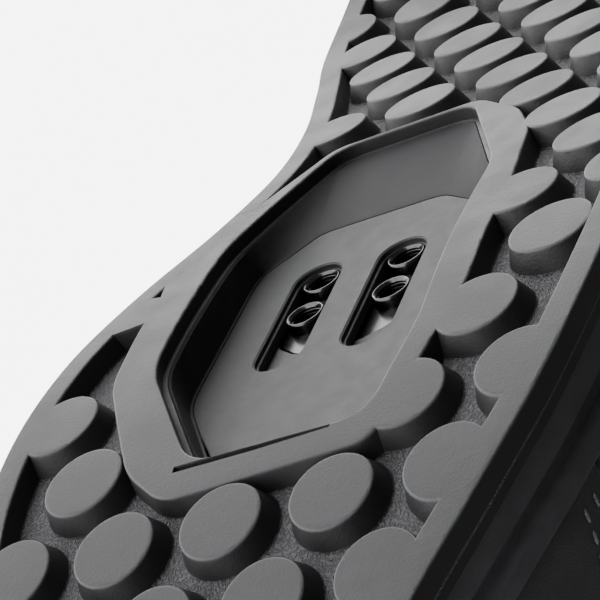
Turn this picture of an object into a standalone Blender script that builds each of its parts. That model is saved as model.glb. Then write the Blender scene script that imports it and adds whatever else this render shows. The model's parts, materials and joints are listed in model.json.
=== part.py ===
# Right clip-in cycling shoe for trails: low cut, laced, round rubber lugs and a cleat pocket.
# It is modelled standing on its sole, heel at the origin and toe along +X, inner side at +Y,
# and is then laid on its inner side. All sizes are in metres.

import math

import bmesh
import bpy
import numpy as np
from mathutils import Matrix, Vector

for old in list(bpy.data.objects):
    bpy.data.objects.remove(old, do_unlink=True)

# Clearance between neighbouring pieces
gap = 0.0003

# Sole
soleLength = 0.288
ballWidth = 0.094
toeSpring = 0.026
archRise = 0.0066
heelBevel = 0.003
heelStack = 0.027
ballStack = 0.0165
toeStack = 0.0135
sheetThickness = 0.0016
midsoleInset = 0.0008
midsoleGroove = 0.0012
midsoleLip = 0.0006

# Lugs stand in straight rows across the sole, each row shifted by half a pitch
lugRadius = 0.0062
lugFoot = 0.0074
lugHeight = 0.0034
lugSink = 0.0008
lugPitch = 0.0164
lugSides = 10
lugRowFromToe = 0.0496
lugColumn = 0.0031
bandWidth = 0.0044
bandSides = 76

# Cleat pocket and what shows in it
pocketLength = 0.092
pocketWidth = 0.0441
pocketFromToe = 0.060
pocketSide = -0.0003
pocketCorner = 0.008
pocketRimWidth = 0.0034
pocketLedge = 0.0008
pocketDepth = 0.0076
pocketRamp = 0.022
pocketDraft = 0.0008
floorThickness = 0.0022
slotLength = 0.0285
slotWidth = 0.0079
slotSpacing = 0.0142
slotFromFront = 0.0292
slotSide = 0.0014
nutPlateLength = 0.030
nutPlateWidth = 0.026
nutPlateThickness = 0.0020
bossRadius = 0.0035
threadRadius = 0.0023
nutSpacing = 0.0090
nutShift = 0.0059
bossDrop = 0.0005

# Upper
upperWall = 0.0020
featherInset = 0.0030
bulge = 0.055
heelHeight = 0.110
heelTab = 0.064
ankleDip = 0.047
throatTop = 0.072
instepHeight = 0.079
vampHeight = 0.050
toeBoxHeight = 0.031
noseHeight = 0.006
collarPinch = 0.14
heelHollow = 0.006
throatHalf = 0.0125
throatFlare = 0.0075
throatFront = 0.70
throatRear = 0.42
toeCapShare = 0.83
counterShare = 0.21
overlayThickness = 0.0011
meridianSteps = 8

# Tongue, insole and lace
tongueThickness = 0.0036
tongueHalf = 0.024
tongueGap = 0.0012
insoleThickness = 0.0030
laceRadius = 0.0015
laceFromEdge = 0.0075
eyeletRadius = 0.0021
eyeletShares = (0.505, 0.545, 0.585, 0.625, 0.665)

# Outline of the sole: share of the length from the heel, share of the ball width to the inner side
outlineTable = (
    (0.000, 0.050), (0.010, 0.200), (0.045, 0.325), (0.090, 0.385), (0.150, 0.412), (0.220, 0.415),
    (0.290, 0.394), (0.355, 0.341), (0.430, 0.281), (0.500, 0.259), (0.565, 0.292), (0.625, 0.364),
    (0.685, 0.430), (0.750, 0.465), (0.820, 0.462), (0.885, 0.405), (0.940, 0.310), (0.980, 0.195),
    (0.998, 0.070), (0.997, -0.055), (0.975, -0.160), (0.938, -0.232), (0.895, -0.298), (0.850, -0.377),
    (0.800, -0.447), (0.740, -0.494), (0.670, -0.515), (0.590, -0.500), (0.500, -0.458), (0.400, -0.410),
    (0.300, -0.370), (0.200, -0.345), (0.120, -0.315), (0.050, -0.235), (0.010, -0.100))

# Stations along the shoe, as shares of its length
stationShares = (
    0.000, 0.004, 0.014, 0.032, 0.060, 0.100, 0.150, 0.205, 0.265, 0.325, 0.380, 0.425, 0.460, 0.490,
    0.520, 0.555, 0.590, 0.625, 0.655, 0.678, 0.692, 0.700, 0.730, 0.765, 0.800, 0.835, 0.870, 0.900,
    0.928, 0.952, 0.972, 0.987, 0.996, 1.000)

# Corners of the cleat pocket: share of its length from the front, share of its width to the outer side
pocketCorners = (
    (0.00, -0.22), (0.27, -0.50), (0.65, -0.50), (0.985, -0.30), (1.00, 0.23), (0.67, 0.50), (0.20, 0.485),
    (0.00, 0.40))


def ease(table, at):
    # Smooth curve through the rows of a table of places and values
    places = np.array([row[0] for row in table], float)
    values = np.array([row[1] for row in table], float)
    slopes = np.gradient(values, places)
    at = float(np.clip(at, places[0], places[-1]))
    k = int(np.clip(np.searchsorted(places, at) - 1, 0, len(places) - 2))
    span = places[k + 1] - places[k]
    t = (at - places[k]) / span
    a = (2 * t ** 3 - 3 * t ** 2 + 1) * values[k] + (t ** 3 - 2 * t ** 2 + t) * span * slopes[k]
    b = (3 * t ** 2 - 2 * t ** 3) * values[k + 1] + (t ** 3 - t ** 2) * span * slopes[k + 1]
    return a + b


def closedCurve(points, count):
    # Evenly spaced points on a smooth closed curve through the given ones
    points = np.array(points, float)
    fine = []
    for k in range(len(points)):
        before, start, end, after = (points[(k + step) % len(points)] for step in (-1, 0, 1, 2))
        for t in np.linspace(0, 1, 12, endpoint=False):
            fine.append(0.5 * (2 * start + (end - before) * t
                               + (2 * before - 5 * start + 4 * end - after) * t ** 2
                               + (3 * start - before - 3 * end + after) * t ** 3))
    fine = np.array(fine + fine[:1])
    reach = np.r_[0, np.cumsum(np.linalg.norm(np.diff(fine, axis=0), axis=1))]
    places = np.linspace(0, reach[-1], count, endpoint=False)
    return np.c_[np.interp(places, reach, fine[:, 0]), np.interp(places, reach, fine[:, 1])]


def roundedCorners(corners, cut, steps):
    # Closed polygon whose corners are replaced by short arcs
    corners = np.array(corners, float)
    points = []
    for k, corner in enumerate(corners):
        toBefore = corners[k - 1] - corner
        toAfter = corners[(k + 1) % len(corners)] - corner
        reach = min(cut, 0.45 * np.linalg.norm(toBefore), 0.45 * np.linalg.norm(toAfter))
        start = corner + toBefore / np.linalg.norm(toBefore) * reach
        end = corner + toAfter / np.linalg.norm(toAfter) * reach
        for t in np.linspace(0, 1, steps):
            points.append((1 - t) ** 2 * start + 2 * t * (1 - t) * corner + t ** 2 * end)
    # Long straights are cut up so that they can follow the curve of the tread
    dense = []
    for k, point in enumerate(points):
        after = points[(k + 1) % len(points)]
        parts = max(1, math.ceil(np.linalg.norm(after - point) / 0.008))
        dense += [point + (after - point) * part / parts for part in range(parts)]
    return np.array(dense)


def moved(loop, distance):
    # The closed loop offset outward by a distance, or inward where it is negative
    ahead = np.roll(loop, -1, axis=0) - np.roll(loop, 1, axis=0)
    normals = np.c_[ahead[:, 1], -ahead[:, 0]]
    normals /= np.linalg.norm(normals, axis=1)[:, None]
    area = np.sum(loop[:, 0] * np.roll(loop[:, 1], -1) - np.roll(loop[:, 0], -1) * loop[:, 1])
    return loop + normals * distance * (1 if area > 0 else -1)


class Edges:
    # Inner and outer edge of a closed loop at each place along X
    def __init__(self, loop):
        first, last = int(np.argmin(loop[:, 0])), int(np.argmax(loop[:, 0]))
        turned = np.roll(loop, -first, axis=0)
        top = (last - first) % len(loop)
        sides = [turned[:top + 1], np.vstack([turned[top:], turned[:1]])[::-1]]
        sides.sort(key=lambda side: side[:, 1].mean())
        self.outer, self.inner = sides
        self.start, self.end = loop[first, 0], loop[last, 0]

    def at(self, x):
        return (float(np.interp(x, self.outer[:, 0], self.outer[:, 1])),
                float(np.interp(x, self.inner[:, 0], self.inner[:, 1])))


soleLoop = closedCurve([(along * soleLength, across * ballWidth) for along, across in outlineTable], 240)


def treadHeight(x):
    # Height of the lug tops: flat at heel and ball, hollow at the arch, sprung at the toe
    share = x / soleLength
    toe = ease(((0.58, 0), (0.65, 0), (0.695, 0.015), (0.76, 0.104), (0.826, 0.285), (0.91, 0.63), (1, 1)), share)
    arch = ease(((0.03, 0), (0.07, 0), (0.10, 0.09), (0.15, 0.42), (0.21, 0.85), (0.27, 1), (0.33, 0.92), (0.40, 0.68),
                 (0.50, 0.33), (0.567, 0.12), (0.65, 0), (0.70, 0)), share)
    heel = ease(((0, 1), (0.03, 0.35), (0.07, 0), (0.12, 0)), share)
    return toeSpring * toe + archRise * arch + heelBevel * heel


def stack(x):
    # Thickness of the whole sole from the lug tops to the bed under the foot
    heel = ease(((0, 1), (0.2, 0.97), (0.45, 0.42), (0.62, 0), (0.7, 0)), x / soleLength)
    toe = ease(((0.62, 0), (0.7, 0), (1, 1)), x / soleLength)
    return ballStack + (heelStack - ballStack) * heel + (toeStack - ballStack) * toe


def bedHeight(x):
    return treadHeight(x) + stack(x)


def sheetHeight(x):
    return treadHeight(x) + lugHeight


# Places at which the sole's pieces are cut across, so that their faces stay parallel
solePlaces = [0.0035, 0.0065, 0.010, 0.015, 0.022] + [float(x) for x in np.linspace(0.031, soleLength - 0.031, 21)]
solePlaces += [soleLength - x for x in (0.022, 0.015, 0.010, 0.0065, 0.0035)]

# Unrolled distance from the toe along the tread, and back to X
runX = np.linspace(soleLength, 0, 400)
runZ = np.array([treadHeight(x) for x in runX])
runLength = np.r_[0, np.cumsum(np.hypot(np.diff(runX), np.diff(runZ)))]


def xFromToe(distance):
    return float(np.interp(distance, runLength, runX))


def treadSlope(x):
    step = 0.002
    return (treadHeight(min(x + step, soleLength)) - treadHeight(max(x - step, 0))) / (
        min(x + step, soleLength) - max(x - step, 0))


def addObject(name, mesh, colour, roughness, metallic=0.0):
    thing = bpy.data.objects.new(name, mesh)
    bpy.context.scene.collection.objects.link(thing)
    material = bpy.data.materials.new(name)
    material.use_nodes = True
    shader = material.node_tree.nodes["Principled BSDF"]
    shader.inputs["Base Color"].default_value = (*colour, 1)
    shader.inputs["Roughness"].default_value = roughness
    shader.inputs["Metallic"].default_value = metallic
    mesh.materials.append(material)
    return thing


def meshFrom(name, points, faces):
    # Mesh with merged doubles and its faces turned outward
    mesh = bpy.data.meshes.new(name)
    mesh.from_pydata([tuple(map(float, point)) for point in points], [], faces)
    work = bmesh.new()
    work.from_mesh(mesh)
    bmesh.ops.remove_doubles(work, verts=work.verts, dist=0.00001)
    bmesh.ops.dissolve_degenerate(work, dist=0.00001, edges=work.edges)
    bmesh.ops.recalc_face_normals(work, faces=work.faces)
    if work.calc_volume(signed=True) < 0:
        bmesh.ops.reverse_faces(work, faces=work.faces)
    work.to_mesh(mesh)
    work.free()
    return mesh


def guide(mesh, name):
    # A cutter or filler that is used by a Boolean and isn't itself a piece
    thing = bpy.data.objects.new(name, mesh)
    bpy.context.scene.collection.objects.link(thing)
    thing.hide_render = True
    thing.display_type = "WIRE"
    return thing


def boolean(target, tool, operation):
    change = target.modifiers.new(operation.lower() + tool.name, "BOOLEAN")
    change.operation = operation
    change.solver = "EXACT"
    if isinstance(tool, bpy.types.Collection):
        change.operand_type = "COLLECTION"
        change.collection = tool
    else:
        change.object = tool


endCut = 0.0001  # how far a slab's blunt ends stop short of the outline


def slab(name, loop, places, levels):
    # Closed solid over an outline, cut across at places. Each level is a height function and an inset.
    edges = [Edges(moved(loop, -inset)) for _, inset in levels]
    first = max(edge.start for edge in edges) + 0.0005
    last = min(edge.end for edge in edges) - 0.0005
    between = [x for x in places if first < x < last]
    points, rings = [], []
    for (height, _), edge in zip(levels, edges):
        across = [edge.start + endCut] + between + [edge.end - endCut]
        ring = [(x, edge.at(x)[0], height(x)) for x in across]
        ring += [(x, edge.at(x)[1], height(x)) for x in reversed(across)]
        rings.append(range(len(points), len(points) + len(ring)))
        points += ring
    count = len(rings[0])
    faces = []
    for low, high in zip(rings[:-1], rings[1:]):
        for k in range(count):
            n = (k + 1) % count
            faces.append((low[k], low[n], high[n], high[k]))
    for ring in (rings[0], rings[-1]):
        for k in range(count // 2 - 1):
            faces.append((ring[k], ring[k + 1], ring[count - 2 - k], ring[count - 1 - k]))
    return meshFrom(name, points, faces)


def placesFor(loop):
    # Where a loop has corners, together with the places at which the sole is cut across
    low, high = loop[:, 0].min(), loop[:, 0].max()
    wanted = sorted([low + 0.0006, high - 0.0006] + [x for x in list(loop[:, 0]) + solePlaces
                                                     if low + 0.001 < x < high - 0.001])
    return [x for k, x in enumerate(wanted) if k == 0 or x in solePlaces or x - wanted[k - 1] > 0.0008]


def ringBand(name, inside, outside, low, high):
    # Closed band between two loops with the same number of points
    points, count = [], len(inside)
    for loop, height in ((inside, low), (outside, low), (outside, high), (inside, high)):
        points += [(x, y, height(min(max(x, 0), soleLength))) for x, y in loop]
    faces = []
    for part in range(4):
        for k in range(count):
            n = (k + 1) % count
            faces.append((part * count + k, part * count + n,
                          ((part + 1) % 4) * count + n, ((part + 1) % 4) * count + k))
    return meshFrom(name, points, faces)


# Cleat pocket outline on the tread, and its outline at the floor
def pocketPlace(along, across):
    x = xFromToe(pocketFromToe + along * pocketLength)
    return x, -across * pocketWidth - pocketSide


pocketLoop = roundedCorners([pocketPlace(*corner) for corner in pocketCorners], pocketCorner, 5)
pocketHole = moved(pocketLoop, -pocketLedge)
pocketFrontX, pocketRearX = pocketPlace(0, 0)[0], pocketPlace(1, 0)[0]
pocketMiddleX = 0.5 * (pocketFrontX + pocketRearX)
pocketTilt = math.atan2(treadHeight(pocketFrontX) - treadHeight(pocketRearX), pocketFrontX - pocketRearX)


def pocketFrame(height):
    # Frame on the flat of the pocket, its X to the toe and its Z into the shoe, height over the lug tops
    base = Vector((pocketMiddleX, 0, treadHeight(pocketMiddleX)))
    turn = Matrix.Rotation(-pocketTilt, 4, "Y")
    return Matrix.Translation(base) @ turn @ Matrix.Translation((0, 0, height))


def prism(name, low, high, bottom, top):
    # Closed solid between a low and a high loop
    count = len(low)
    points = [(x, y, bottom) for x, y in low] + [(x, y, top) for x, y in high]
    faces = [tuple(range(count)), tuple(range(count, 2 * count))]
    faces += [(k, (k + 1) % count, count + (k + 1) % count, count + k) for k in range(count)]
    return meshFrom(name, points, faces)


def floorLoop(shrink):
    # Outline of the pocket floor in the pocket frame: the rear end comes forward by the ramp
    loop = moved(pocketHole, -pocketDraft - shrink) - np.array([pocketMiddleX, 0])
    front, rear = loop[:, 0].max(), loop[:, 0].min()
    share = (front - loop[:, 0]) / (front - rear)
    return np.c_[loop[:, 0] + share * pocketRamp, loop[:, 1]]


def slotLoop(length, width, x, y, steps=8):
    # Outline with two straight sides and two round ends
    half = length / 2 - width / 2
    right = [(x + half + width / 2 * math.cos(a), y + width / 2 * math.sin(a))
             for a in np.linspace(-math.pi / 2, math.pi / 2, steps)]
    left = [(x - half - width / 2 * math.cos(a), y - width / 2 * math.sin(a))
            for a in np.linspace(-math.pi / 2, math.pi / 2, steps)]
    return np.array(right + left)


slotX = pocketFrontX - pocketMiddleX - slotFromFront - slotLength / 2
slotSides = [side * slotSpacing / 2 + slotSide for side in (-1, 1)]


def makeOutsole():
    oversize = 0.003
    big = moved(soleLoop, oversize)
    low = lambda x: sheetHeight(min(max(x, 0), soleLength))
    high = lambda x: low(x) + sheetThickness
    top = lambda x: low(x) - lugHeight
    outsole = addObject("outsole", slab("outsole", big, solePlaces, ((low, 0), (high, 0))), (0.05, 0.05, 0.052), 0.7)
    raised = bpy.data.collections.new("raised")
    bpy.context.scene.collection.children.link(raised)

    def add(mesh, name):
        thing = guide(mesh, name)
        raised.objects.link(thing)
        bpy.context.scene.collection.objects.unlink(thing)
        return thing

    coarse = soleLoop[::max(1, len(soleLoop) // bandSides)]
    sunk = lambda x: low(x) + lugSink
    add(ringBand("edgeBand", moved(coarse, -bandWidth), moved(coarse, oversize * 0.7), top, sunk), "edgeBand")
    add(ringBand("pocketBand", moved(pocketLoop, -pocketRimWidth / 3), moved(pocketLoop, pocketRimWidth),
                 top, sunk), "pocketBand")
    edges = Edges(soleLoop)
    rowPitch = lugPitch * math.sqrt(3) / 2
    rows = range(-int(lugRowFromToe / rowPitch), int((runLength[-1] - lugRowFromToe) / rowPitch) + 1)
    lugMesh = bpy.data.meshes.new("lug")
    work = bmesh.new()
    bmesh.ops.create_cone(work, cap_ends=True, segments=lugSides, radius1=lugRadius, radius2=lugFoot,
                          depth=lugHeight + lugSink)
    work.to_mesh(lugMesh)
    work.free()
    reach = Edges(moved(pocketLoop, -lugRadius * 0.45))
    for row in rows:
        x = xFromToe(lugRowFromToe + row * rowPitch)
        if not edges.start < x < edges.end:
            continue
        outer, inner = edges.at(x)
        shift = lugPitch / 2 * (row % 2)
        for column in range(-4, 5):
            y = lugColumn + shift + column * lugPitch
            inPocket = reach.start < x < reach.end and reach.at(x)[0] < y < reach.at(x)[1]
            if inPocket or not outer + lugRadius * 0.2 < y < inner - lugRadius * 0.2:
                continue
            lug = add(lugMesh, "lug")
            slope = math.atan(treadSlope(x))
            place = Vector((x, y, treadHeight(x))) + Vector((-math.sin(slope), 0, math.cos(slope))) * (
                (lugHeight + lugSink) / 2)
            lug.matrix_world = Matrix.Translation(place) @ Matrix.Rotation(-slope, 4, "Y")
    boolean(outsole, raised, "UNION")
    # What is kept: everything inside the outline except the stepped opening over the cleat pocket
    deep = lambda x: low(x) + 0.00005
    outside = lambda x: low(x) - 0.012
    inside = lambda x: low(x) + 0.012
    levels = ((outside, 0), (deep, 0), (deep, pocketLedge), (inside, pocketLedge))
    opening = guide(slab("opening", pocketLoop, placesFor(pocketLoop), levels), "opening")
    kept = guide(prism("kept", coarse, coarse, -0.03, 0.1), "kept")
    boolean(kept, opening, "DIFFERENCE")
    boolean(outsole, kept, "INTERSECT")
    return outsole


def makeMidsole():
    low = lambda x: sheetHeight(min(max(x, 0), soleLength)) + sheetThickness + gap
    high = lambda x: bedHeight(min(max(x, 0), soleLength))
    part = lambda share: (lambda x: low(x) + share * (high(x) - low(x)))
    levels = ((low, midsoleInset), (part(0.42), midsoleInset), (part(0.5), midsoleInset + midsoleGroove),
              (part(0.62), midsoleInset + midsoleGroove), (part(0.7), midsoleInset - midsoleLip),
              (high, midsoleInset - midsoleLip))
    midsole = addObject("midsole", slab("midsole", soleLoop, solePlaces, levels), (0.022, 0.022, 0.024), 0.6)
    depth = pocketDepth + floorThickness + gap
    pocket = guide(prism("pocket", pocketHole - np.array([pocketMiddleX, 0]), floorLoop(0), -0.012, depth),
                   "pocket")
    pocket.matrix_world = pocketFrame(0)
    boolean(midsole, pocket, "DIFFERENCE")
    seat = nutPlateThickness + 2 * gap
    well = guide(prism("well", *[slotLoop(nutPlateLength + 2 * gap, nutPlateWidth + 2 * gap,
                                          nutPlaceX(), slotSide)] * 2, -0.001, seat), "well")
    well.matrix_world = pocketFrame(depth)
    boolean(midsole, well, "DIFFERENCE")
    return midsole


def nutPlaceX():
    return slotX - nutShift


def makeCleatFloor():
    loop = floorLoop(gap)
    plate = addObject("cleat_floor", prism("cleat_floor", loop, loop, 0, floorThickness), (0.05, 0.05, 0.052), 0.75)
    plate.matrix_world = pocketFrame(pocketDepth)
    for number, y in enumerate(slotSides):
        outline = slotLoop(slotLength, slotWidth, slotX, y)
        slot = guide(prism("slot", outline, outline, -0.002, floorThickness + 0.002), "slot%d" % number)
        slot.matrix_world = plate.matrix_world
        boolean(plate, slot, "DIFFERENCE")
    return plate


def makeNutPlate():
    outline = slotLoop(nutPlateLength, nutPlateWidth, nutPlaceX(), slotSide)
    plate = addObject("nut_plate", prism("nut_plate", outline, outline, 0, nutPlateThickness),
                      (0.5, 0.5, 0.52), 0.3, 1.0)
    plate.matrix_world = pocketFrame(pocketDepth + floorThickness + 2 * gap)
    bossHeight = floorThickness + 2 * gap - bossDrop
    for number in range(4):
        x = nutPlaceX() + (number % 2 - 0.5) * nutSpacing
        y = slotSides[number // 2]
        boss = slotLoop(2 * bossRadius, 2 * bossRadius - 0.00002, x, y)
        collar = guide(prism("boss", boss, boss, -bossHeight, 0.0005), "boss%d" % number)
        collar.matrix_world = plate.matrix_world
        boolean(plate, collar, "UNION")
    for number in range(4):
        x = nutPlaceX() + (number % 2 - 0.5) * nutSpacing
        y = slotSides[number // 2]
        hole = slotLoop(2 * threadRadius, 2 * threadRadius - 0.00002, x, y)
        bore = guide(prism("bore", hole, hole, -bossHeight - 0.002, nutPlateThickness + 0.002), "bore%d" % number)
        bore.matrix_world = plate.matrix_world
        boolean(plate, bore, "DIFFERENCE")
    return plate


# The last: cross sections along the shoe
featherLoop = moved(soleLoop, -featherInset)
featherEdges = Edges(featherLoop)


def stationX(share):
    return featherEdges.start + share * (featherEdges.end - featherEdges.start)


def sectionHeight(share):
    # Height of the ridge over the bed, from the ankle over the instep to the nose
    table = ((0, heelHeight), (0.15, heelHeight), (0.32, heelHeight), (0.40, 0.97 * heelHeight),
             (0.45, 0.5 * (heelHeight + instepHeight)), (0.50, instepHeight),
             (0.57, 0.6 * instepHeight + 0.4 * vampHeight), (0.64, 0.25 * instepHeight + 0.75 * vampHeight),
             (0.72, vampHeight), (0.80, 0.6 * vampHeight + 0.4 * toeBoxHeight), (0.88, toeBoxHeight * 1.12),
             (0.94, toeBoxHeight), (0.972, 0.78 * toeBoxHeight), (0.99, 0.48 * toeBoxHeight),
             (1, noseHeight))
    return ease(table, share)


def onLast(share, turn, side):
    # Point on the outside of the upper. Turn is 0 at the feather edge and 1 on the ridge.
    x = stationX(share)
    outer, inner = featherEdges.at(x)
    edge = inner if side > 0 else outer
    ridge = 0.5 * (outer + inner)
    fullness = ease(((0, 2.9), (0.3, 2.7), (0.5, 2.15), (0.7, 2.05), (0.85, 2.3), (1, 2.4)), share)
    angle = turn * math.pi / 2
    across = max(math.cos(angle), 0.0) ** (2 / fullness) if turn < 1 else 0.0
    rise = math.sin(angle) ** (2 / fullness) if turn > 0 else 0.0
    height = sectionHeight(share) * rise
    swell = 1 + bulge * math.sin(math.pi * min(rise * 1.25, 1)) * ease(((0, 0.6), (0.2, 1), (0.8, 1), (1, 0.3)), share)
    rear = ease(((0, 1), (0.3, 0.9), (0.5, 0), (0.55, 0)), share)
    pinch = 1 - collarPinch * rear * min(height / ankleDip, 1.6) ** 2
    y = ridge + (edge - ridge) * across * swell * pinch
    back = ease(((0, 1), (0.12, 0.8), (0.4, 0), (0.45, 0)), share)
    lean = heelHollow * ((height / heelTab) ** 2 - 0.9 * math.sin(math.pi * min(height / heelTab, 1)) * 0.5)
    return np.array([x + back * lean, y, bedHeight(min(max(x, 0), soleLength)) + gap + height])


def turnFor(test, top=1.0):
    # Smallest turn at which the test holds
    low, high = 0.0, top
    for _ in range(40):
        middle = 0.5 * (low + high)
        if test(middle):
            high = middle
        else:
            low = middle
    return 0.5 * (low + high)


def collarHeight(share):
    return ease(((0, heelTab), (0.04, heelTab * 0.985), (0.12, 0.45 * heelTab + 0.55 * ankleDip), (0.22, ankleDip),
                 (0.30, ankleDip * 1.02), (0.38, 0.6 * ankleDip + 0.4 * throatTop), (0.45, throatTop),
                 (0.50, throatTop * 1.3)), share)


def throatWidth(share):
    # Half width of the throat, round at its front end
    open = throatHalf + throatFlare * max(0.0, (0.64 - share) / 0.16)
    roundShare = throatHalf / soleLength
    ahead = (share - (throatFront - roundShare)) / roundShare
    return open * math.sqrt(max(0.0, 1 - max(0.0, ahead) ** 2))


def edgeTurn(share, side):
    # Where the upper ends at this station: at the collar, at the throat or on the ridge
    bed = bedHeight(min(max(stationX(share), 0), soleLength)) + gap
    atCollar = turnFor(lambda turn: onLast(share, turn, side)[2] - bed > collarHeight(share))
    if share >= throatFront:
        return 1.0
    if share < throatRear:
        return atCollar
    half = throatWidth(share)
    middle = onLast(share, 1.0, side)[1]
    atThroat = turnFor(lambda turn: abs(onLast(share, turn, side)[1] - middle) < half)
    return min(atCollar, atThroat)


def gridPoints():
    # Points of the upper, by side, station and step from feather edge to top
    sides = {}
    for side in (-1, 1):
        rows = []
        for share in stationShares:
            top = edgeTurn(share, side)
            rows.append([onLast(share, top * (step / meridianSteps) ** 0.9, side)
                         for step in range(meridianSteps + 1)])
        sides[side] = np.array(rows)
    return sides


grid = gridPoints()


def gridNormals():
    # Outward directions at the grid points, averaged over the quads that meet there
    table = {}

    def key(point):
        return tuple(np.round(point, 6))

    for side in (-1, 1):
        rows = grid[side]
        for k in range(len(rows) - 1):
            for step in range(meridianSteps):
                corners = (rows[k][step], rows[k + 1][step], rows[k + 1][step + 1], rows[k][step + 1])
                normal = np.cross(corners[2] - corners[0], corners[3] - corners[1]) * -side
                for corner in corners:
                    table[key(corner)] = table.get(key(corner), 0) + normal
    result = {}
    for side in (-1, 1):
        result[side] = np.array([[table[key(point)] / np.linalg.norm(table[key(point)]) for point in row]
                                 for row in grid[side]])
    return result


normals = gridNormals()


def shell(name, wanted, inside, outside, colour, roughness):
    # Solid of even thickness over the wanted quads of the grid
    points, index, faces = [], {}, []

    def place(side, k, step, layer):
        distance = outside if layer else inside
        point = grid[side][k][step] + normals[side][k][step] * distance
        if step == 0:
            point[2] = bedHeight(min(max(point[0], 0), soleLength)) + gap
        label = tuple(np.round(grid[side][k][step], 6)) + (layer,)
        if label not in index:
            index[label] = len(points)
            points.append(point)
        return index[label]

    border = {}
    for side in (-1, 1):
        for k in range(len(stationShares) - 1):
            for step in range(meridianSteps):
                if not wanted(side, k, step):
                    continue
                cell = ((k, step), (k + 1, step), (k + 1, step + 1), (k, step + 1))
                for layer in (0, 1):
                    ring = [place(side, *corner, layer) for corner in cell]
                    ring = [ring[n] for n in range(4) if ring[n] != ring[n - 1]]
                    if len(ring) > 2:
                        faces.append(tuple(ring))
                for n in range(4):
                    a = (place(side, *cell[n], 0), place(side, *cell[n], 1))
                    b = (place(side, *cell[(n + 1) % 4], 0), place(side, *cell[(n + 1) % 4], 1))
                    if a != b:
                        border.setdefault(tuple(sorted((a, b))), []).append((a, b))
    for pair in border.values():
        if len(pair) == 1:
            a, b = pair[0]
            faces.append((a[0], b[0], b[1], a[1]))
    return addObject(name, meshFrom(name, points, faces), colour, roughness)


def makeUpper():
    black = (0.012, 0.012, 0.013)
    upper = shell("upper", lambda side, k, step: True, -upperWall, 0.0, black, 0.8)
    low, high = gap, gap + overlayThickness
    shares = stationShares

    def inToe(side, k, step):
        return shares[k] >= toeCapShare

    def inHeel(side, k, step):
        return shares[k + 1] <= counterShare and step < meridianSteps - 1

    def inStay(side, k, step):
        return throatRear < shares[k] - 0.03 and shares[k + 1] <= throatFront + 0.001 and step >= meridianSteps - 2

    shell("toe_cap", inToe, low, high, black, 0.55)
    shell("heel_counter", inHeel, low, high, black, 0.55)
    stays = []
    for side, name in ((1, "eyestay_inner"), (-1, "eyestay_outer")):
        stay = shell(name, lambda s, k, step, side=side: s == side and inStay(s, k, step), low, high, black, 0.6)
        for number, share in enumerate(eyeletShares):
            middle, normal = eyelet(share, side)
            mesh = bpy.data.meshes.new("punch")
            work = bmesh.new()
            bmesh.ops.create_cone(work, cap_ends=True, segments=10, radius1=eyeletRadius, radius2=eyeletRadius,
                                  depth=0.012)
            work.to_mesh(mesh)
            work.free()
            punch = guide(mesh, "%sPunch%d" % (name, number))
            turn = Vector(normal).to_track_quat("Z", "Y").to_matrix().to_4x4()
            punch.matrix_world = Matrix.Translation(Vector(middle)) @ turn
            boolean(stay, punch, "DIFFERENCE")
            stays.append(punch)
        for punch in stays[-len(eyeletShares):]:
            boolean(upper, punch, "DIFFERENCE")
    return upper


def surfaceNormal(share, turn, side):
    step = 0.004
    along = onLast(share + step, turn, side) - onLast(share - step, turn, side)
    upward = onLast(share, min(turn + step, 1), side) - onLast(share, turn - step, side)
    normal = np.cross(along, upward) * -side
    return normal / np.linalg.norm(normal)


def acrossPoint(share, offset):
    # Point on the last at a signed distance from the ridge line, and the direction out of it
    side = 1 if offset >= 0 else -1
    middle = onLast(share, 1.0, side)[1]
    if abs(offset) < 0.0005:
        turn = 0.985
        a, b = (surfaceNormal(share, turn, s) for s in (-1, 1))
        normal = (a + b) / np.linalg.norm(a + b)
        return onLast(share, 1.0, side), normal
    turn = turnFor(lambda t: abs(onLast(share, t, side)[1] - middle) < abs(offset))
    return onLast(share, turn, side), surfaceNormal(share, turn, side)


def eyelet(share, side):
    return acrossPoint(share, side * (throatWidth(share) + laceFromEdge))


def makeTongue():
    shares = (0.442, 0.452, 0.468, 0.49, 0.52, 0.555, 0.59, 0.625, 0.66, 0.70, 0.735)
    steps = np.linspace(-1, 1, 7)
    points, faces = [], []
    for layer in (upperWall + tongueGap, upperWall + tongueGap + tongueThickness):
        for share in shares:
            for step in steps:
                half = tongueHalf * (0.78 if share == shares[0] else 1)
                point, normal = acrossPoint(share, step * half)
                points.append(point - normal * layer)
    across, total = len(steps), len(shares) * len(steps)
    for k in range(len(shares) - 1):
        for n in range(across - 1):
            ring = (k * across + n, k * across + n + 1, (k + 1) * across + n + 1, (k + 1) * across + n)
            faces += [ring, tuple(total + corner for corner in reversed(ring))]
    rim = [n for n in range(across)] + [k * across + across - 1 for k in range(1, len(shares))]
    rim += [(len(shares) - 1) * across + n for n in range(across - 2, -1, -1)]
    rim += [k * across for k in range(len(shares) - 2, 0, -1)]
    for n, corner in enumerate(rim):
        after = rim[(n + 1) % len(rim)]
        faces.append((corner, after, total + after, total + corner))
    return addObject("tongue", meshFrom("tongue", points, faces), (0.014, 0.014, 0.015), 0.85)


def makeInsole():
    inset = featherInset + upperWall + 0.0012
    low = lambda x: bedHeight(min(max(x, 0), soleLength)) + gap
    high = lambda x: low(x) + insoleThickness
    mesh = slab("insole", soleLoop, solePlaces, ((low, inset), (high, inset)))
    return addObject("insole", mesh, (0.03, 0.03, 0.032), 0.9)


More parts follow.
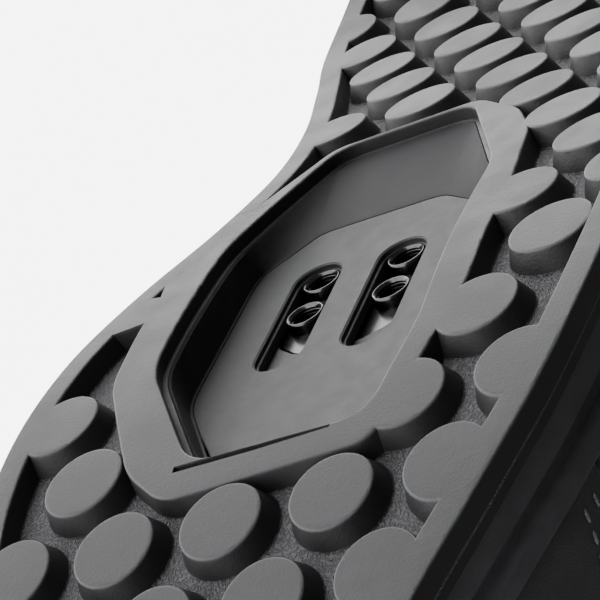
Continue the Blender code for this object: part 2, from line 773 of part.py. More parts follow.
def makeLace():
    # One lace in straight bars over the throat, joined along the eyestays, its ends at the top eyelets
    lift = gap + overlayThickness + gap + laceRadius + 0.0009
    path = []
    side = 1
    for share in eyeletShares:
        reach = throatWidth(share) + laceFromEdge
        bar = []
        for step in np.linspace(-1, 1, 7):
            point, normal = acrossPoint(share, step * reach)
            bar.append(point + normal * lift)
        path += bar if side > 0 else bar[::-1]
        side = -side
    spline = bpy.data.curves.new("lace", "CURVE")
    spline.dimensions = "3D"
    spline.bevel_depth = laceRadius
    spline.bevel_resolution = 1
    spline.use_fill_caps = True
    line = spline.splines.new("POLY")
    line.points.add(len(path) - 1)
    for point, place in zip(line.points, path):
        point.co = (*place, 1)
    lace = bpy.data.objects.new("lace", spline)
    bpy.context.scene.collection.objects.link(lace)
    material = bpy.data.materials.new("lace")
    material.use_nodes = True
    material.node_tree.nodes["Principled BSDF"].inputs["Base Color"].default_value = (0.015, 0.015, 0.016, 1)
    spline.materials.append(material)
    return lace


def layDown():
    # Turn the whole shoe onto the flat that its inner side would rest on, and centre it over the origin
    bpy.context.view_layer.update()
    graph = bpy.context.evaluated_depsgraph_get()
    pieces = [thing for thing in bpy.data.objects if not thing.hide_render and thing.type in ("MESH", "CURVE")]
    cloud = []
    for piece in pieces:
        seen = piece.evaluated_get(graph)
        mesh = seen.to_mesh()
        cloud += [piece.matrix_world @ vertex.co for vertex in mesh.vertices]
        seen.to_mesh_clear()
    work = bmesh.new()
    for point in cloud:
        work.verts.new(point)
    bmesh.ops.convex_hull(work, input=work.verts)
    centre = Vector((0.47 * soleLength, 0.0, 0.035))
    best, bestDot = None, -2
    for face in work.faces:
        corners = [vertex.co.copy() for vertex in face.verts]
        normal = (corners[1] - corners[0]).cross(corners[2] - corners[0])
        if normal.length < 1e-12:
            continue
        normal.normalize()
        if normal.dot(corners[0] - centre) < 0:
            normal.negate()
        foot = centre + normal * normal.dot(corners[0] - centre)
        turns = [(corners[(n + 1) % 3] - corners[n]).cross(foot - corners[n]).dot(normal) for n in range(3)]
        inside = all(turn >= 0 for turn in turns) or all(turn <= 0 for turn in turns)
        if inside and normal.y > bestDot:
            best, bestDot = (normal, corners), normal.y
    work.free()
    normal, corners = best
    down = normal
    forward = Vector((1, 0, 0))
    forward = (forward - down * forward.dot(down)).normalized()
    side = (-down).cross(forward)
    turn = Matrix((forward, side, -down)).to_4x4()
    turned = [turn @ point for point in cloud]
    lows = Vector([min(point[axis] for point in turned) for axis in range(3)])
    highs = Vector([max(point[axis] for point in turned) for axis in range(3)])
    shift = Matrix.Translation((-(lows.x + highs.x) / 2, -(lows.y + highs.y) / 2, -lows.z))
    holder = bpy.data.objects.new("shoe", None)
    bpy.context.scene.collection.objects.link(holder)
    holder.matrix_world = shift @ turn
    for thing in bpy.data.objects:
        if thing is not holder:
            thing.parent = holder
    return corners


makeOutsole()
makeMidsole()
makeCleatFloor()
makeNutPlate()
makeUpper()
makeTongue()
makeInsole()
makeLace()
layDown()
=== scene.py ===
import json
import math

import bmesh
import bpy
import numpy as np
from mathutils import Euler, Matrix, Vector

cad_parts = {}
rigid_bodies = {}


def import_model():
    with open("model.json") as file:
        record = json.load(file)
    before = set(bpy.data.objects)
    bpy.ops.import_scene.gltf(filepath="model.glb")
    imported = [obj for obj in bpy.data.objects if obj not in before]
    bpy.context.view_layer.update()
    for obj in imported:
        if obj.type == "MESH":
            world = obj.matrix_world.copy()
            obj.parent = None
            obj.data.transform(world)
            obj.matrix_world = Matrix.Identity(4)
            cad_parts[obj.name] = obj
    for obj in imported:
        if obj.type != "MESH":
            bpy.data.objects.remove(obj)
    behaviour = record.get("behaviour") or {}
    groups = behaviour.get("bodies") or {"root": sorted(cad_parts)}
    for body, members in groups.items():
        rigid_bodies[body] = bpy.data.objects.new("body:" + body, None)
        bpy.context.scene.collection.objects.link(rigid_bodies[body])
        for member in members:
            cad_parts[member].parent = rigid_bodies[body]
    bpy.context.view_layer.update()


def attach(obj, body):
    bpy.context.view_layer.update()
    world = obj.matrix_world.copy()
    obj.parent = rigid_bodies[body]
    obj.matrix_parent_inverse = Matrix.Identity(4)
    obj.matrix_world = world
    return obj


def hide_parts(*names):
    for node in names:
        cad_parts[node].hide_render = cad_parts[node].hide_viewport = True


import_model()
mm = 0.001

# Where the standing shoe (heel at the origin, toe +X, inner side +Y) lies in the frame
restPose = {"turnDegrees": (-94.38965, -1.28133, 0.0), "placeMm": (-144.0268, -58.3907, 40.2463)}
lying = Matrix.Translation(Vector(restPose["placeMm"]) * mm) @ Euler(
    [math.radians(angle) for angle in restPose["turnDegrees"]]).to_matrix().to_4x4()

# Camera: as close to the tread as in the photograph, rolled with the shoe
view = {
    "place": (0.37461, -0.18051, 0.23658),
    "right": (-0.29906, 0.4993, 0.8132),
    "forward": (-0.81323, 0.31244, -0.49091),
    "lensMm": 170.78,  # on a 36 mm wide sensor
}


def makeCamera():
    data = bpy.data.cameras.new("camera")
    data.sensor_width = 36
    data.lens = view["lensMm"]
    data.clip_start = 0.01
    data.clip_end = 20
    camera = bpy.data.objects.new("camera", data)
    bpy.context.scene.collection.objects.link(camera)
    forward = Vector(view["forward"]).normalized()
    right = Vector(view["right"])
    right = (right - forward * right.dot(forward)).normalized()
    up = right.cross(forward)
    turn = Matrix((right, up, -forward)).transposed().to_4x4()
    camera.matrix_world = Matrix.Translation(view["place"]) @ turn
    bpy.context.scene.camera = camera


makeCamera()
print("camera set")


# Curves, outlines and meshes
def ease(table, at):  # smooth curve through rows of place and value
    places = np.array([row[0] for row in table], float)
    values = np.array([row[1] for row in table], float)
    slopes = np.gradient(values, places)
    at = np.clip(at, places[0], places[-1])
    k = np.clip(np.searchsorted(places, at) - 1, 0, len(places) - 2)
    span = places[k + 1] - places[k]
    t = (at - places[k]) / span
    a = (2 * t ** 3 - 3 * t ** 2 + 1) * values[k] + (t ** 3 - 2 * t ** 2 + t) * span * slopes[k]
    b = (3 * t ** 2 - 2 * t ** 3) * values[k + 1] + (t ** 3 - t ** 2) * span * slopes[k + 1]
    return a + b


def closedCurve(points, count):  # even points on a smooth closed curve
    points = np.array(points, float)
    fine = []
    for k in range(len(points)):
        before, start, end, after = (points[(k + step) % len(points)] for step in (-1, 0, 1, 2))
        for t in np.linspace(0, 1, 12, endpoint=False):
            fine.append(0.5 * (2 * start + (end - before) * t
                               + (2 * before - 5 * start + 4 * end - after) * t ** 2
                               + (3 * start - before - 3 * end + after) * t ** 3))
    fine = np.array(fine + fine[:1])
    reach = np.r_[0, np.cumsum(np.linalg.norm(np.diff(fine, axis=0), axis=1))]
    places = np.linspace(0, reach[-1], count, endpoint=False)
    return np.c_[np.interp(places, reach, fine[:, 0]), np.interp(places, reach, fine[:, 1])]


def roundedCorners(corners, cut, steps, longest):  # polygon with short arcs at its corners
    corners = np.array(corners, float)
    points = []
    for k, corner in enumerate(corners):
        toBefore = corners[k - 1] - corner
        toAfter = corners[(k + 1) % len(corners)] - corner
        reach = min(cut, 0.45 * np.linalg.norm(toBefore), 0.45 * np.linalg.norm(toAfter))
        start = corner + toBefore / np.linalg.norm(toBefore) * reach
        end = corner + toAfter / np.linalg.norm(toAfter) * reach
        for t in np.linspace(0, 1, steps):
            points.append((1 - t) ** 2 * start + 2 * t * (1 - t) * corner + t ** 2 * end)
    dense = []
    for k, point in enumerate(points):
        after = points[(k + 1) % len(points)]
        parts = max(1, math.ceil(np.linalg.norm(after - point) / longest))
        dense += [point + (after - point) * part / parts for part in range(parts)]
    return np.array(dense)


def moved(loop, distance):  # offset outward, or inward where negative
    ahead = np.roll(loop, -1, axis=0) - np.roll(loop, 1, axis=0)
    across = np.c_[ahead[:, 1], -ahead[:, 0]]
    across /= np.linalg.norm(across, axis=1)[:, None]
    area = np.sum(loop[:, 0] * np.roll(loop[:, 1], -1) - np.roll(loop[:, 0], -1) * loop[:, 1])
    return loop + across * distance * (1 if area > 0 else -1)


def edgesOf(loop):  # outer and inner edge of a closed loop, as tables along X
    first, last = int(np.argmin(loop[:, 0])), int(np.argmax(loop[:, 0]))
    turned = np.roll(loop, -first, axis=0)
    top = (last - first) % len(loop)
    sides = [turned[:top + 1], np.vstack([turned[top:], turned[:1]])[::-1]]
    sides.sort(key=lambda side: side[:, 1].mean())
    return sides


def acrossAt(edges, x):
    return float(np.interp(x, edges[0][:, 0], edges[0][:, 1])), float(np.interp(x, edges[1][:, 0], edges[1][:, 1]))


def link(name, mesh):
    thing = bpy.data.objects.new(name, mesh)
    bpy.context.scene.collection.objects.link(thing)
    return thing


def meshFrom(name, points, faces, merge=0.00001):
    mesh = bpy.data.meshes.new(name)
    mesh.from_pydata([tuple(map(float, point)) for point in points], [], faces)
    work = bmesh.new()
    work.from_mesh(mesh)
    bmesh.ops.remove_doubles(work, verts=work.verts, dist=merge)
    bmesh.ops.dissolve_degenerate(work, dist=merge, edges=work.edges)
    bmesh.ops.recalc_face_normals(work, faces=work.faces)
    if work.calc_volume(signed=True) < 0:
        bmesh.ops.reverse_faces(work, faces=work.faces)
    work.to_mesh(mesh)
    work.free()
    return mesh


def stacked(name, loops):  # closed solid through loops of 3D points, flat at both ends
    count = len(loops[0])
    points = np.vstack(loops)
    faces = [tuple(range(count)), tuple(range((len(loops) - 1) * count, len(loops) * count))]
    for k in range(len(loops) - 1):
        faces += [(k * count + n, k * count + (n + 1) % count, (k + 1) * count + (n + 1) % count, (k + 1) * count + n)
                  for n in range(count)]
    return meshFrom(name, points, faces)


def ringed(name, loops):  # closed ring through loops of 3D points, the last joined to the first
    count, rows = len(loops[0]), len(loops)
    points = np.vstack(loops)
    faces = [(k * count + n, k * count + (n + 1) % count,
              (k + 1) % rows * count + (n + 1) % count, (k + 1) % rows * count + n)
             for k in range(rows) for n in range(count)]
    return meshFrom(name, points, faces)


def at(loop, height):  # a flat loop lifted to one height
    return np.c_[loop, np.full(len(loop), height)]


def combine(target, tools, operation):  # exact Boolean with one object or with several, applied
    change = target.modifiers.new("change", "BOOLEAN")
    change.operation = operation
    change.solver = "EXACT"
    group = bpy.data.collections.new("tools")
    bpy.context.scene.collection.children.link(group)
    for tool in tools:
        group.objects.link(tool)
        bpy.context.scene.collection.objects.unlink(tool)
    if len(tools) > 1:
        change.operand_type = "COLLECTION"
        change.collection = group
    else:
        change.object = tools[0]
    bpy.context.view_layer.update()
    graph = bpy.context.evaluated_depsgraph_get()
    mesh = bpy.data.meshes.new_from_object(target.evaluated_get(graph))
    target.modifiers.clear()
    target.data = mesh
    for tool in list(group.objects):
        bpy.data.objects.remove(tool, do_unlink=True)
    bpy.data.collections.remove(group)
    return target


def smoothen(thing, degrees=32, weighted=True):
    thing.data.shade_smooth()
    thing.data.set_sharp_from_angle(angle=math.radians(degrees))
    if weighted:
        change = thing.modifiers.new("weighted normals", "WEIGHTED_NORMAL")
        change.keep_sharp = True
        change.weight = 100


# Sole: the same sizes as the solids, worked out again
sole = {
    "length": 288 * mm, "ballWidth": 94 * mm, "toeSpring": 26 * mm, "archRise": 6.6 * mm, "heelBevel": 3 * mm,
    "heelStack": 27 * mm, "ballStack": 16.5 * mm, "toeStack": 13.5 * mm, "sheet": 1.6 * mm,
    "outline": (
        (0.000, 0.050), (0.010, 0.200), (0.045, 0.325), (0.090, 0.385), (0.150, 0.412), (0.220, 0.415),
        (0.290, 0.394), (0.355, 0.341), (0.430, 0.281), (0.500, 0.259), (0.565, 0.292), (0.625, 0.364),
        (0.685, 0.430), (0.750, 0.465), (0.820, 0.462), (0.885, 0.405), (0.940, 0.310), (0.980, 0.195),
        (0.998, 0.070), (0.997, -0.055), (0.975, -0.160), (0.938, -0.232), (0.895, -0.298), (0.850, -0.377),
        (0.800, -0.447), (0.740, -0.494), (0.670, -0.515), (0.590, -0.500), (0.500, -0.458), (0.400, -0.410),
        (0.300, -0.370), (0.200, -0.345), (0.120, -0.315), (0.050, -0.235), (0.010, -0.100)),
    "toeCurve": ((0.58, 0), (0.65, 0), (0.695, 0.015), (0.76, 0.104), (0.826, 0.285), (0.91, 0.63), (1, 1)),
    "archCurve": ((0.03, 0), (0.07, 0), (0.10, 0.09), (0.15, 0.42), (0.21, 0.85), (0.27, 1), (0.33, 0.92),
                  (0.40, 0.68), (0.50, 0.33), (0.567, 0.12), (0.65, 0), (0.70, 0)),
    "heelCurve": ((0, 1), (0.03, 0.35), (0.07, 0), (0.12, 0)),
    "outlinePoints": 420,
}
gap = 0.3 * mm
soleLength = sole["length"]
fineX = np.linspace(0, soleLength, 1600)
fineTread = (sole["toeSpring"] * ease(sole["toeCurve"], fineX / soleLength)
             + sole["archRise"] * ease(sole["archCurve"], fineX / soleLength)
             + sole["heelBevel"] * ease(sole["heelCurve"], fineX / soleLength))
fineStack = (sole["ballStack"]
             + (sole["heelStack"] - sole["ballStack"]) * ease(((0, 1), (0.2, 0.97), (0.45, 0.42), (0.62, 0), (0.7, 0)),
                                                              fineX / soleLength)
             + (sole["toeStack"] - sole["ballStack"]) * ease(((0.62, 0), (0.7, 0), (1, 1)), fineX / soleLength))
fineRun = np.r_[0, np.cumsum(np.hypot(np.diff(fineX), np.diff(fineTread)))]
runTotal = fineRun[-1]


def treadHeight(x):
    return np.interp(x, fineX, fineTread)


def bedHeight(x):
    return np.interp(x, fineX, fineTread + fineStack)


def xFromToe(distance):  # place along X at an unrolled distance from the toe
    return np.interp(runTotal - distance, fineRun, fineX)


def fromToe(x):
    return runTotal - np.interp(x, fineX, fineRun)


def treadSlope(x):
    step = 0.002
    low, high = np.maximum(x - step, 0), np.minimum(x + step, soleLength)
    return (treadHeight(high) - treadHeight(low)) / (high - low)


soleLoop = closedCurve([(along * soleLength, across * sole["ballWidth"]) for along, across in sole["outline"]],
                       sole["outlinePoints"])

lugs = {
    "radius": 6.2 * mm, "foot": 7.4 * mm, "height": 3.4 * mm, "pitch": 16.4 * mm, "rowFromToe": 49.6 * mm,
    "column": 3.1 * mm, "sides": 44, "band": 4.4 * mm, "bandSlope": 0.7 * mm, "clear": 0.45 * mm,
    "deepInRim": 3.5 * mm,
}
bevel = ((0.0, 0.55 * mm), (0.05 * mm, 0.27 * mm), (0.19 * mm, 0.09 * mm), (0.46 * mm, 0.0))  # inset and drop
pocket = {
    "length": 92 * mm, "width": 44.1 * mm, "fromToe": 60 * mm, "side": -0.3 * mm,
    "ledge": 0.8 * mm, "ledgeDepth": 2.0 * mm, "depth": 7.6 * mm, "ramp": 20 * mm,
    "sideCorner": 0.66, "draft": 0.8 * mm,
    "floor": 2.2 * mm, "steps": 9, "longest": 4 * mm, "sharpCorner": 4.5 * mm,
    # share of the pocket's length from its front, share of its width to the outer side
    "corners": ((0.02, -0.23), (0.27, -0.50), (0.65, -0.50), (0.985, -0.30), (1.00, 0.23), (0.67, 0.50),
                (0.20, 0.485), (0.02, 0.38)),
    "rimCorners": ((-0.048, -0.30), (0.03, -0.46), (0.26, -0.655), (0.46, -0.665), (0.70, -0.60), (0.995, -0.325),
                   (1.012, 0.25), (0.89, 0.475), (0.765, 0.585), (0.56, 0.635), (0.26, 0.625), (0.10, 0.53),
                   (-0.035, 0.42)),
    # distance from the toe and place to the inner side, in mm
    "waistFill": ((100.2, 28.0), (99.2, 36.0), (98.0, 46.0), (133.6, 46.0), (133.6, 15.0)),
    "waistRamp": ((133.1, 10.0), (133.1, 46.0), (150.0, 46.0), (150.0, 10.0)),
    "waistPit": ((108.7, 32.4), (112.2, 30.1), (107.6, 29.3)),
    "frontGroove": ((60.5, 12.5), (61.6, 12.5), (61.75, 0.0), (61.6, -11.5), (61.0, -11.3), (60.55, 0.0)),
    "grooveDepth": 1.8 * mm,
}


def pocketPlace(along, across):
    return (float(xFromToe(pocket["fromToe"] + along * pocket["length"])),
            -across * pocket["width"] - pocket["side"])


pocketLoop = roundedCorners([pocketPlace(*corner) for corner in pocket["corners"]], pocket["sharpCorner"],
                            pocket["steps"], pocket["longest"])
rimLoop = roundedCorners([pocketPlace(*corner) for corner in pocket["rimCorners"]], 3 * mm,
                         pocket["steps"], pocket["longest"])
pocketHole = moved(pocketLoop, -pocket["ledge"])
pocketFrontX, pocketRearX = pocketPlace(0, 0)[0], pocketPlace(1, 0)[0]
pocketMiddleX = 0.5 * (pocketFrontX + pocketRearX)
pocketTilt = math.atan2(treadHeight(pocketFrontX) - treadHeight(pocketRearX), pocketFrontX - pocketRearX)


def pocketFrame(height):  # frame on the flat of the pocket, Z into the shoe
    base = Vector((pocketMiddleX, 0, float(treadHeight(pocketMiddleX))))
    return (Matrix.Translation(base) @ Matrix.Rotation(-pocketTilt, 4, "Y")
            @ Matrix.Translation((0, 0, height)))


def unrolled(loop):  # plan outline to distance from the toe and side
    return np.c_[fromToe(loop[:, 0]), loop[:, 1]]


def lugMesh():
    # All lugs in the unrolled tread: tapered discs with a soft top edge, in rows shifted by half a pitch
    top, profile = lugs["height"], []
    for inset, drop in bevel:
        profile.append((lugs["radius"] - inset, top - drop))
    profile = [(lugs["foot"] + 0.05 * mm, -0.4 * mm), (lugs["foot"], 0.0)] + profile
    edges, reach = edgesOf(soleLoop), edgesOf(moved(pocketLoop, -lugs["radius"] * 0.45))
    rimEdges = edgesOf(rimLoop)
    rowPitch = lugs["pitch"] * math.sqrt(3) / 2
    points, faces = [], []
    for row in range(-int(lugs["rowFromToe"] / rowPitch), int((runTotal - lugs["rowFromToe"]) / rowPitch) + 1):
        along = lugs["rowFromToe"] + row * rowPitch
        x = float(xFromToe(along))
        if not soleLoop[:, 0].min() < x < soleLoop[:, 0].max():
            continue
        outer, inner = acrossAt(edges, x)
        for column in range(-4, 5):
            y = lugs["column"] + lugs["pitch"] / 2 * (row % 2) + column * lugs["pitch"]
            low, high = acrossAt(reach, x)
            inPocket = reach[0][0, 0] < x < reach[0][-1, 0] and low < y < high
            rimLow, rimHigh = acrossAt(rimEdges, x)
            inRim = rimEdges[0][0, 0] < x < rimEdges[0][-1, 0] and rimLow + lugs["deepInRim"] < y < rimHigh
            if inPocket or inRim or not outer + lugs["radius"] * 0.2 < y < inner - lugs["radius"] * 0.2:
                continue
            start, count = len(points), lugs["sides"]
            for radius, height in profile:
                points += [(along + radius * math.cos(turn), y + radius * math.sin(turn), height)
                           for turn in np.linspace(0, 2 * math.pi, count, endpoint=False)]
            for ring in range(len(profile) - 1):
                a, b = start + ring * count, start + (ring + 1) * count
                faces += [(a + n, a + (n + 1) % count, b + (n + 1) % count, b + n) for n in range(count)]
            faces.append(tuple(start + n for n in range(count)))
            faces.append(tuple(start + (len(profile) - 1) * count + n for n in range(count)))
    return meshFrom("lugs", points, faces)


def bandLoops(outer, inner, slope):
    # Section of a raised band: up the outer wall, over the flat top, down the sloped inner wall
    low, top = -sole["sheet"], lugs["height"]
    loops = [at(outer(0), low)]
    loops += [at(outer(inset), top - drop) for inset, drop in bevel]
    loops += [at(inner(inset), top - drop) for inset, drop in reversed(bevel)]
    loops += [at(inner(-slope), 0), at(inner(-slope), low)]
    return loops


def bendTread(mesh):
    # From the unrolled tread to the standing shoe. Lugs lean with the tread, bands keep upright walls.
    count = len(mesh.vertices)
    points = np.empty(count * 3)
    mesh.vertices.foreach_get("co", points)
    points = points.reshape(-1, 3)
    x = xFromToe(points[:, 0])
    depth = lugs["height"] - points[:, 2]
    lean = np.ones(count)
    plan = np.c_[x, points[:, 1]]
    for loop, reachIn in ((soleLoop, 9 * mm), (pocketLoop, 7 * mm)):
        for start in range(0, count, 4000):
            part = plan[start:start + 4000]
            away = np.linalg.norm(part[:, None, :] - loop[None, :, :], axis=2).min(axis=1)
            lean[start:start + 4000] *= np.clip((away - 4.6 * mm) / (reachIn - 4.6 * mm), 0, 1)
    slope = np.arctan(treadSlope(x)) * lean
    flat = np.c_[x - np.sin(slope) * depth, points[:, 1], treadHeight(x) + np.cos(slope) * depth]
    heights = mesh.attributes.new("treadHeight", "FLOAT", "POINT")
    heights.data.foreach_set("value", (points[:, 2] / lugs["height"]).astype(np.float32))
    mesh.vertices.foreach_set("co", flat.ravel())
    mesh.update()


def flatBlock(name, corners, low, high):  # upright block over corners given in mm on the unrolled tread
    loop = np.array(corners) * mm
    return link(name, stacked(name, [at(loop, low), at(loop, high)]))


def makeOutsole():
    outer, rim, hole = unrolled(soleLoop), unrolled(rimLoop), unrolled(pocketLoop)
    low, top, deep = -sole["sheet"], lugs["height"], 0.02
    edgeBand = link("edgeBand", ringed("edgeBand", bandLoops(
        lambda inset: moved(outer, -inset), lambda inset: moved(outer, -lugs["band"] + inset), lugs["bandSlope"])))
    loops = [at(moved(rim, lugs["bandSlope"]), low + 0.07 * mm), at(moved(rim, lugs["bandSlope"]), 0)]
    loops += [at(moved(rim, -inset), top - drop) for inset, drop in bevel]
    rimBlock = link("rimBlock", stacked("rimBlock", loops))
    # the opening over the pocket: soft top edge, upright wall, narrow ledge, and through
    ledge = top - pocket["ledgeDepth"]
    cut = [at(moved(hole, 0.5 * mm), top + 1 * mm), at(moved(hole, 0.5 * mm), top + 0.02 * mm)]
    cut += [at(moved(hole, inset), top - drop) for inset, drop in ((0.3 * mm, 0.05 * mm), (0.12 * mm, 0.16 * mm),
                                                                   (0.0, 0.4 * mm))]
    cut += [at(hole, ledge), at(moved(hole, -pocket["ledge"] + 0.1 * mm), ledge),
            at(moved(hole, -pocket["ledge"]), ledge - 0.12 * mm), at(moved(hole, -pocket["ledge"]), -deep)]
    combine(rimBlock, [link("opening", stacked("opening", cut))], "DIFFERENCE")
    combine(rimBlock, [flatBlock("groove", pocket["frontGroove"], top - pocket["grooveDepth"], deep)], "DIFFERENCE")
    fill = flatBlock("fill", pocket["waistFill"], low + 0.11 * mm, top - 0.01 * mm)
    combine(fill, [flatBlock("pit", pocket["waistPit"], 0.4 * mm, deep)], "DIFFERENCE")
    ramp = flatBlock("ramp", pocket["waistRamp"], low + 0.17 * mm, top)
    rampStart, rampEnd = pocket["waistRamp"][0][0] * mm, pocket["waistRamp"][2][0] * mm
    for vertex in ramp.data.vertices:
        if vertex.co.z > 0:
            vertex.co.z = top * (1 - (vertex.co.x - rampStart) / (rampEnd - rampStart)) + 0.02 * mm
    field = link("field", lugMesh())
    combine(field, [fill, ramp], "UNION")
    inside, around = moved(outer, -lugs["clear"]), moved(hole, 1.1 * mm)
    keep = link("keep", stacked("keep", [at(inside, -deep), at(inside, deep)]))
    combine(keep, [link("middle", stacked("middle", [at(around, -2 * deep), at(around, 2 * deep)]))], "DIFFERENCE")
    combine(field, [keep], "INTERSECT")
    plateLoop = moved(outer, -1.0 * mm)
    plate = link("outsole_rubber", stacked("outsole_rubber", [at(plateLoop, low + 0.03 * mm), at(plateLoop, 0)]))
    around = moved(hole, 0.6 * mm)
    combine(plate, [link("middle", stacked("middle", [at(around, -deep), at(around, deep)]))], "DIFFERENCE")
    combine(plate, [edgeBand, rimBlock, field], "UNION")
    work = bmesh.new()
    work.from_mesh(plate.data)
    bmesh.ops.remove_doubles(work, verts=work.verts, dist=0.00001)
    bmesh.ops.triangulate(work, faces=work.faces, ngon_method="BEAUTY")
    for along in np.arange(3 * mm, runTotal, 3.5 * mm):
        bmesh.ops.bisect_plane(work, geom=work.verts[:] + work.edges[:] + work.faces[:], dist=1e-7,
                               plane_co=(along, 0, 0), plane_no=(1, 0, 0))
    bmesh.ops.triangulate(work, faces=[face for face in work.faces if len(face.verts) > 4])
    work.to_mesh(plate.data)
    work.free()
    bendTread(plate.data)
    work = bmesh.new()
    work.from_mesh(plate.data)
    bmesh.ops.recalc_face_normals(work, faces=work.faces)
    if work.calc_volume(signed=True) < 0:
        bmesh.ops.reverse_faces(work, faces=work.faces)
    work.to_mesh(plate.data)
    work.free()
    plate.data.transform(lying)
    smoothen(plate, 34)
    print("outsole:", len(plate.data.polygons), "faces")
    return plate


outsole = makeOutsole()


def bandedSlab(name, loop, levels, count):
    # Solid over an outline in many cuts across. Each level is a height function and an inset.
    edges = [edgesOf(moved(loop, -inset)) for _, inset in levels]
    first = max(edge[0][0, 0] for edge in edges)
    last = min(edge[0][-1, 0] for edge in edges)
    across = first + (last - first) * (1 - np.cos(np.pi * np.linspace(0.012, 0.988, count))) / 2
    loops = []
    for (height, _), edge in zip(levels, edges):
        outer = np.interp(across, edge[0][:, 0], edge[0][:, 1])
        inner = np.interp(across, edge[1][:, 0], edge[1][:, 1])
        tall = height(across)
        loops.append(np.vstack([np.c_[across, outer, tall], np.c_[across, inner, tall][::-1]]))
    points, size, faces = np.vstack(loops), 2 * count, []
    for level in range(len(levels) - 1):
        a, b = level * size, (level + 1) * size
        faces += [(a + k, a + (k + 1) % size, b + (k + 1) % size, b + k) for k in range(size)]
    for start in (0, (len(levels) - 1) * size):
        faces += [(start + k, start + k + 1, start + size - 2 - k, start + size - 1 - k) for k in range(count - 1)]
    return meshFrom(name, points, faces, 1e-6)


midsoleShape = {
    "count": 110,
    # share of the height, and how far the wall stands in from the outline
    "wall": ((0.0, 1.2), (0.03, 0.8), (0.38, 0.8), (0.42, 0.9), (0.46, 1.7), (0.50, 2.0), (0.60, 2.0), (0.64, 1.7),
             (0.67, 0.7), (0.70, 0.3), (0.76, 0.2), (0.94, 0.2), (0.98, 0.4), (1.0, 0.9)),
}


def soleLow(x):
    return treadHeight(x) + lugs["height"] + sole["sheet"] + gap


def floorLoop(shrink):
    # Outline of the pocket floor in the pocket frame: its rear end comes forward by the ramp
    loop = moved(pocketHole, -pocket["draft"] - shrink) - np.array([pocketMiddleX, 0])
    rear = loop[:, 0].min()
    turn = pocketPlace(pocket["sideCorner"], 0)[0] - pocketMiddleX
    share = np.clip((turn - loop[:, 0]) / (turn - rear), 0, 1)
    return np.c_[loop[:, 0] + share * pocket["ramp"], loop[:, 1]]


def slotLoop(length, width, x, y, steps=14):
    half = length / 2 - width / 2
    turns = np.linspace(-math.pi / 2, math.pi / 2, steps)
    right = np.c_[x + half + width / 2 * np.cos(turns), y + width / 2 * np.sin(turns)]
    left = np.c_[x - half - width / 2 * np.cos(turns), y - width / 2 * np.sin(turns)]
    return np.vstack([right, left])


cleat = {
    "slotLength": 28.5 * mm, "slotWidth": 7.9 * mm, "spacing": 14.2 * mm, "fromFront": 29.2 * mm, "side": 1.4 * mm,
    "plateLength": 30 * mm, "plateWidth": 26 * mm, "plateThickness": 2 * mm, "boss": 3.1 * mm, "thread": 2.3 * mm,
    "nutSpacing": 9.3 * mm, "nutShift": 6.6 * mm, "bossDrop": 0.9 * mm, "threadPitch": 0.55 * mm,
    "threadDepth": 0.22 * mm,
}
slotX = pocketFrontX - pocketMiddleX - cleat["fromFront"] - cleat["slotLength"] / 2
slotSides = [side * cleat["spacing"] / 2 + cleat["side"] for side in (-1, 1)]
nutX = slotX - cleat["nutShift"]


def makeMidsole():
    def part(share):
        return lambda x: soleLow(x) + share * (bedHeight(x) - soleLow(x))
    levels = [(part(share), inset * mm) for share, inset in midsoleShape["wall"]]
    body = link("midsole_foam", bandedSlab("midsole_foam", soleLoop, levels, midsoleShape["count"]))
    depth = pocket["depth"] + pocket["floor"] + gap
    opening = moved(pocketHole, 0.1 * mm) - np.array([pocketMiddleX, 0])
    cut = link("cut", stacked("cut", [at(opening, -0.012), at(opening, depth)]))
    cut.data.transform(pocketFrame(0))
    combine(body, [cut], "DIFFERENCE")
    seat = cleat["plateThickness"] + 2 * gap
    loop = slotLoop(cleat["plateLength"] + 2 * gap, cleat["plateWidth"] + 2 * gap, nutX, cleat["side"])
    well = link("well", stacked("well", [at(loop, -0.001), at(loop, seat)]))
    well.data.transform(pocketFrame(depth))
    combine(body, [well], "DIFFERENCE")
    body.data.transform(lying)
    smoothen(body, 30)
    return body


def makePocketWall():
    # Wall of the pocket from the ledge down to its floor, with the long ramp at the heel end
    shift = np.array([pocketMiddleX, 0])
    inverse = pocketFrame(0).inverted()

    def follow(loop, depth):  # a plan loop at a depth below the curved tread, in the pocket frame
        points = np.c_[loop, treadHeight(loop[:, 0]) + depth]
        return np.array([inverse @ Vector(point) for point in points])

    bottom = pocket["depth"] + pocket["floor"]
    edge = moved(pocketHole, -0.05 * mm)
    top = pocket["ledgeDepth"] + 0.05 * mm
    floor = floorLoop(0)
    inner = follow(moved(edge, -0.35 * mm), top + 0.3 * mm)
    low = at(floor, pocket["depth"] - 0.1 * mm)
    soft = at(moved(floor, -0.35 * mm), pocket["depth"])
    loops = [at(edge - shift, bottom), follow(edge, top + 0.12 * mm), follow(moved(edge, -0.12 * mm), top), inner]
    loops += [inner + (low - inner) * share for share in (0.25, 0.5, 0.75, 0.93)]
    loops += [low, soft, at(moved(floor, -0.35 * mm), pocket["depth"] + 0.3 * mm), at(floor, bottom)]
    wall = link("pocket_wall", ringed("pocket_wall", loops))
    wall.data.transform(lying @ pocketFrame(0))
    smoothen(wall, 32)
    return wall


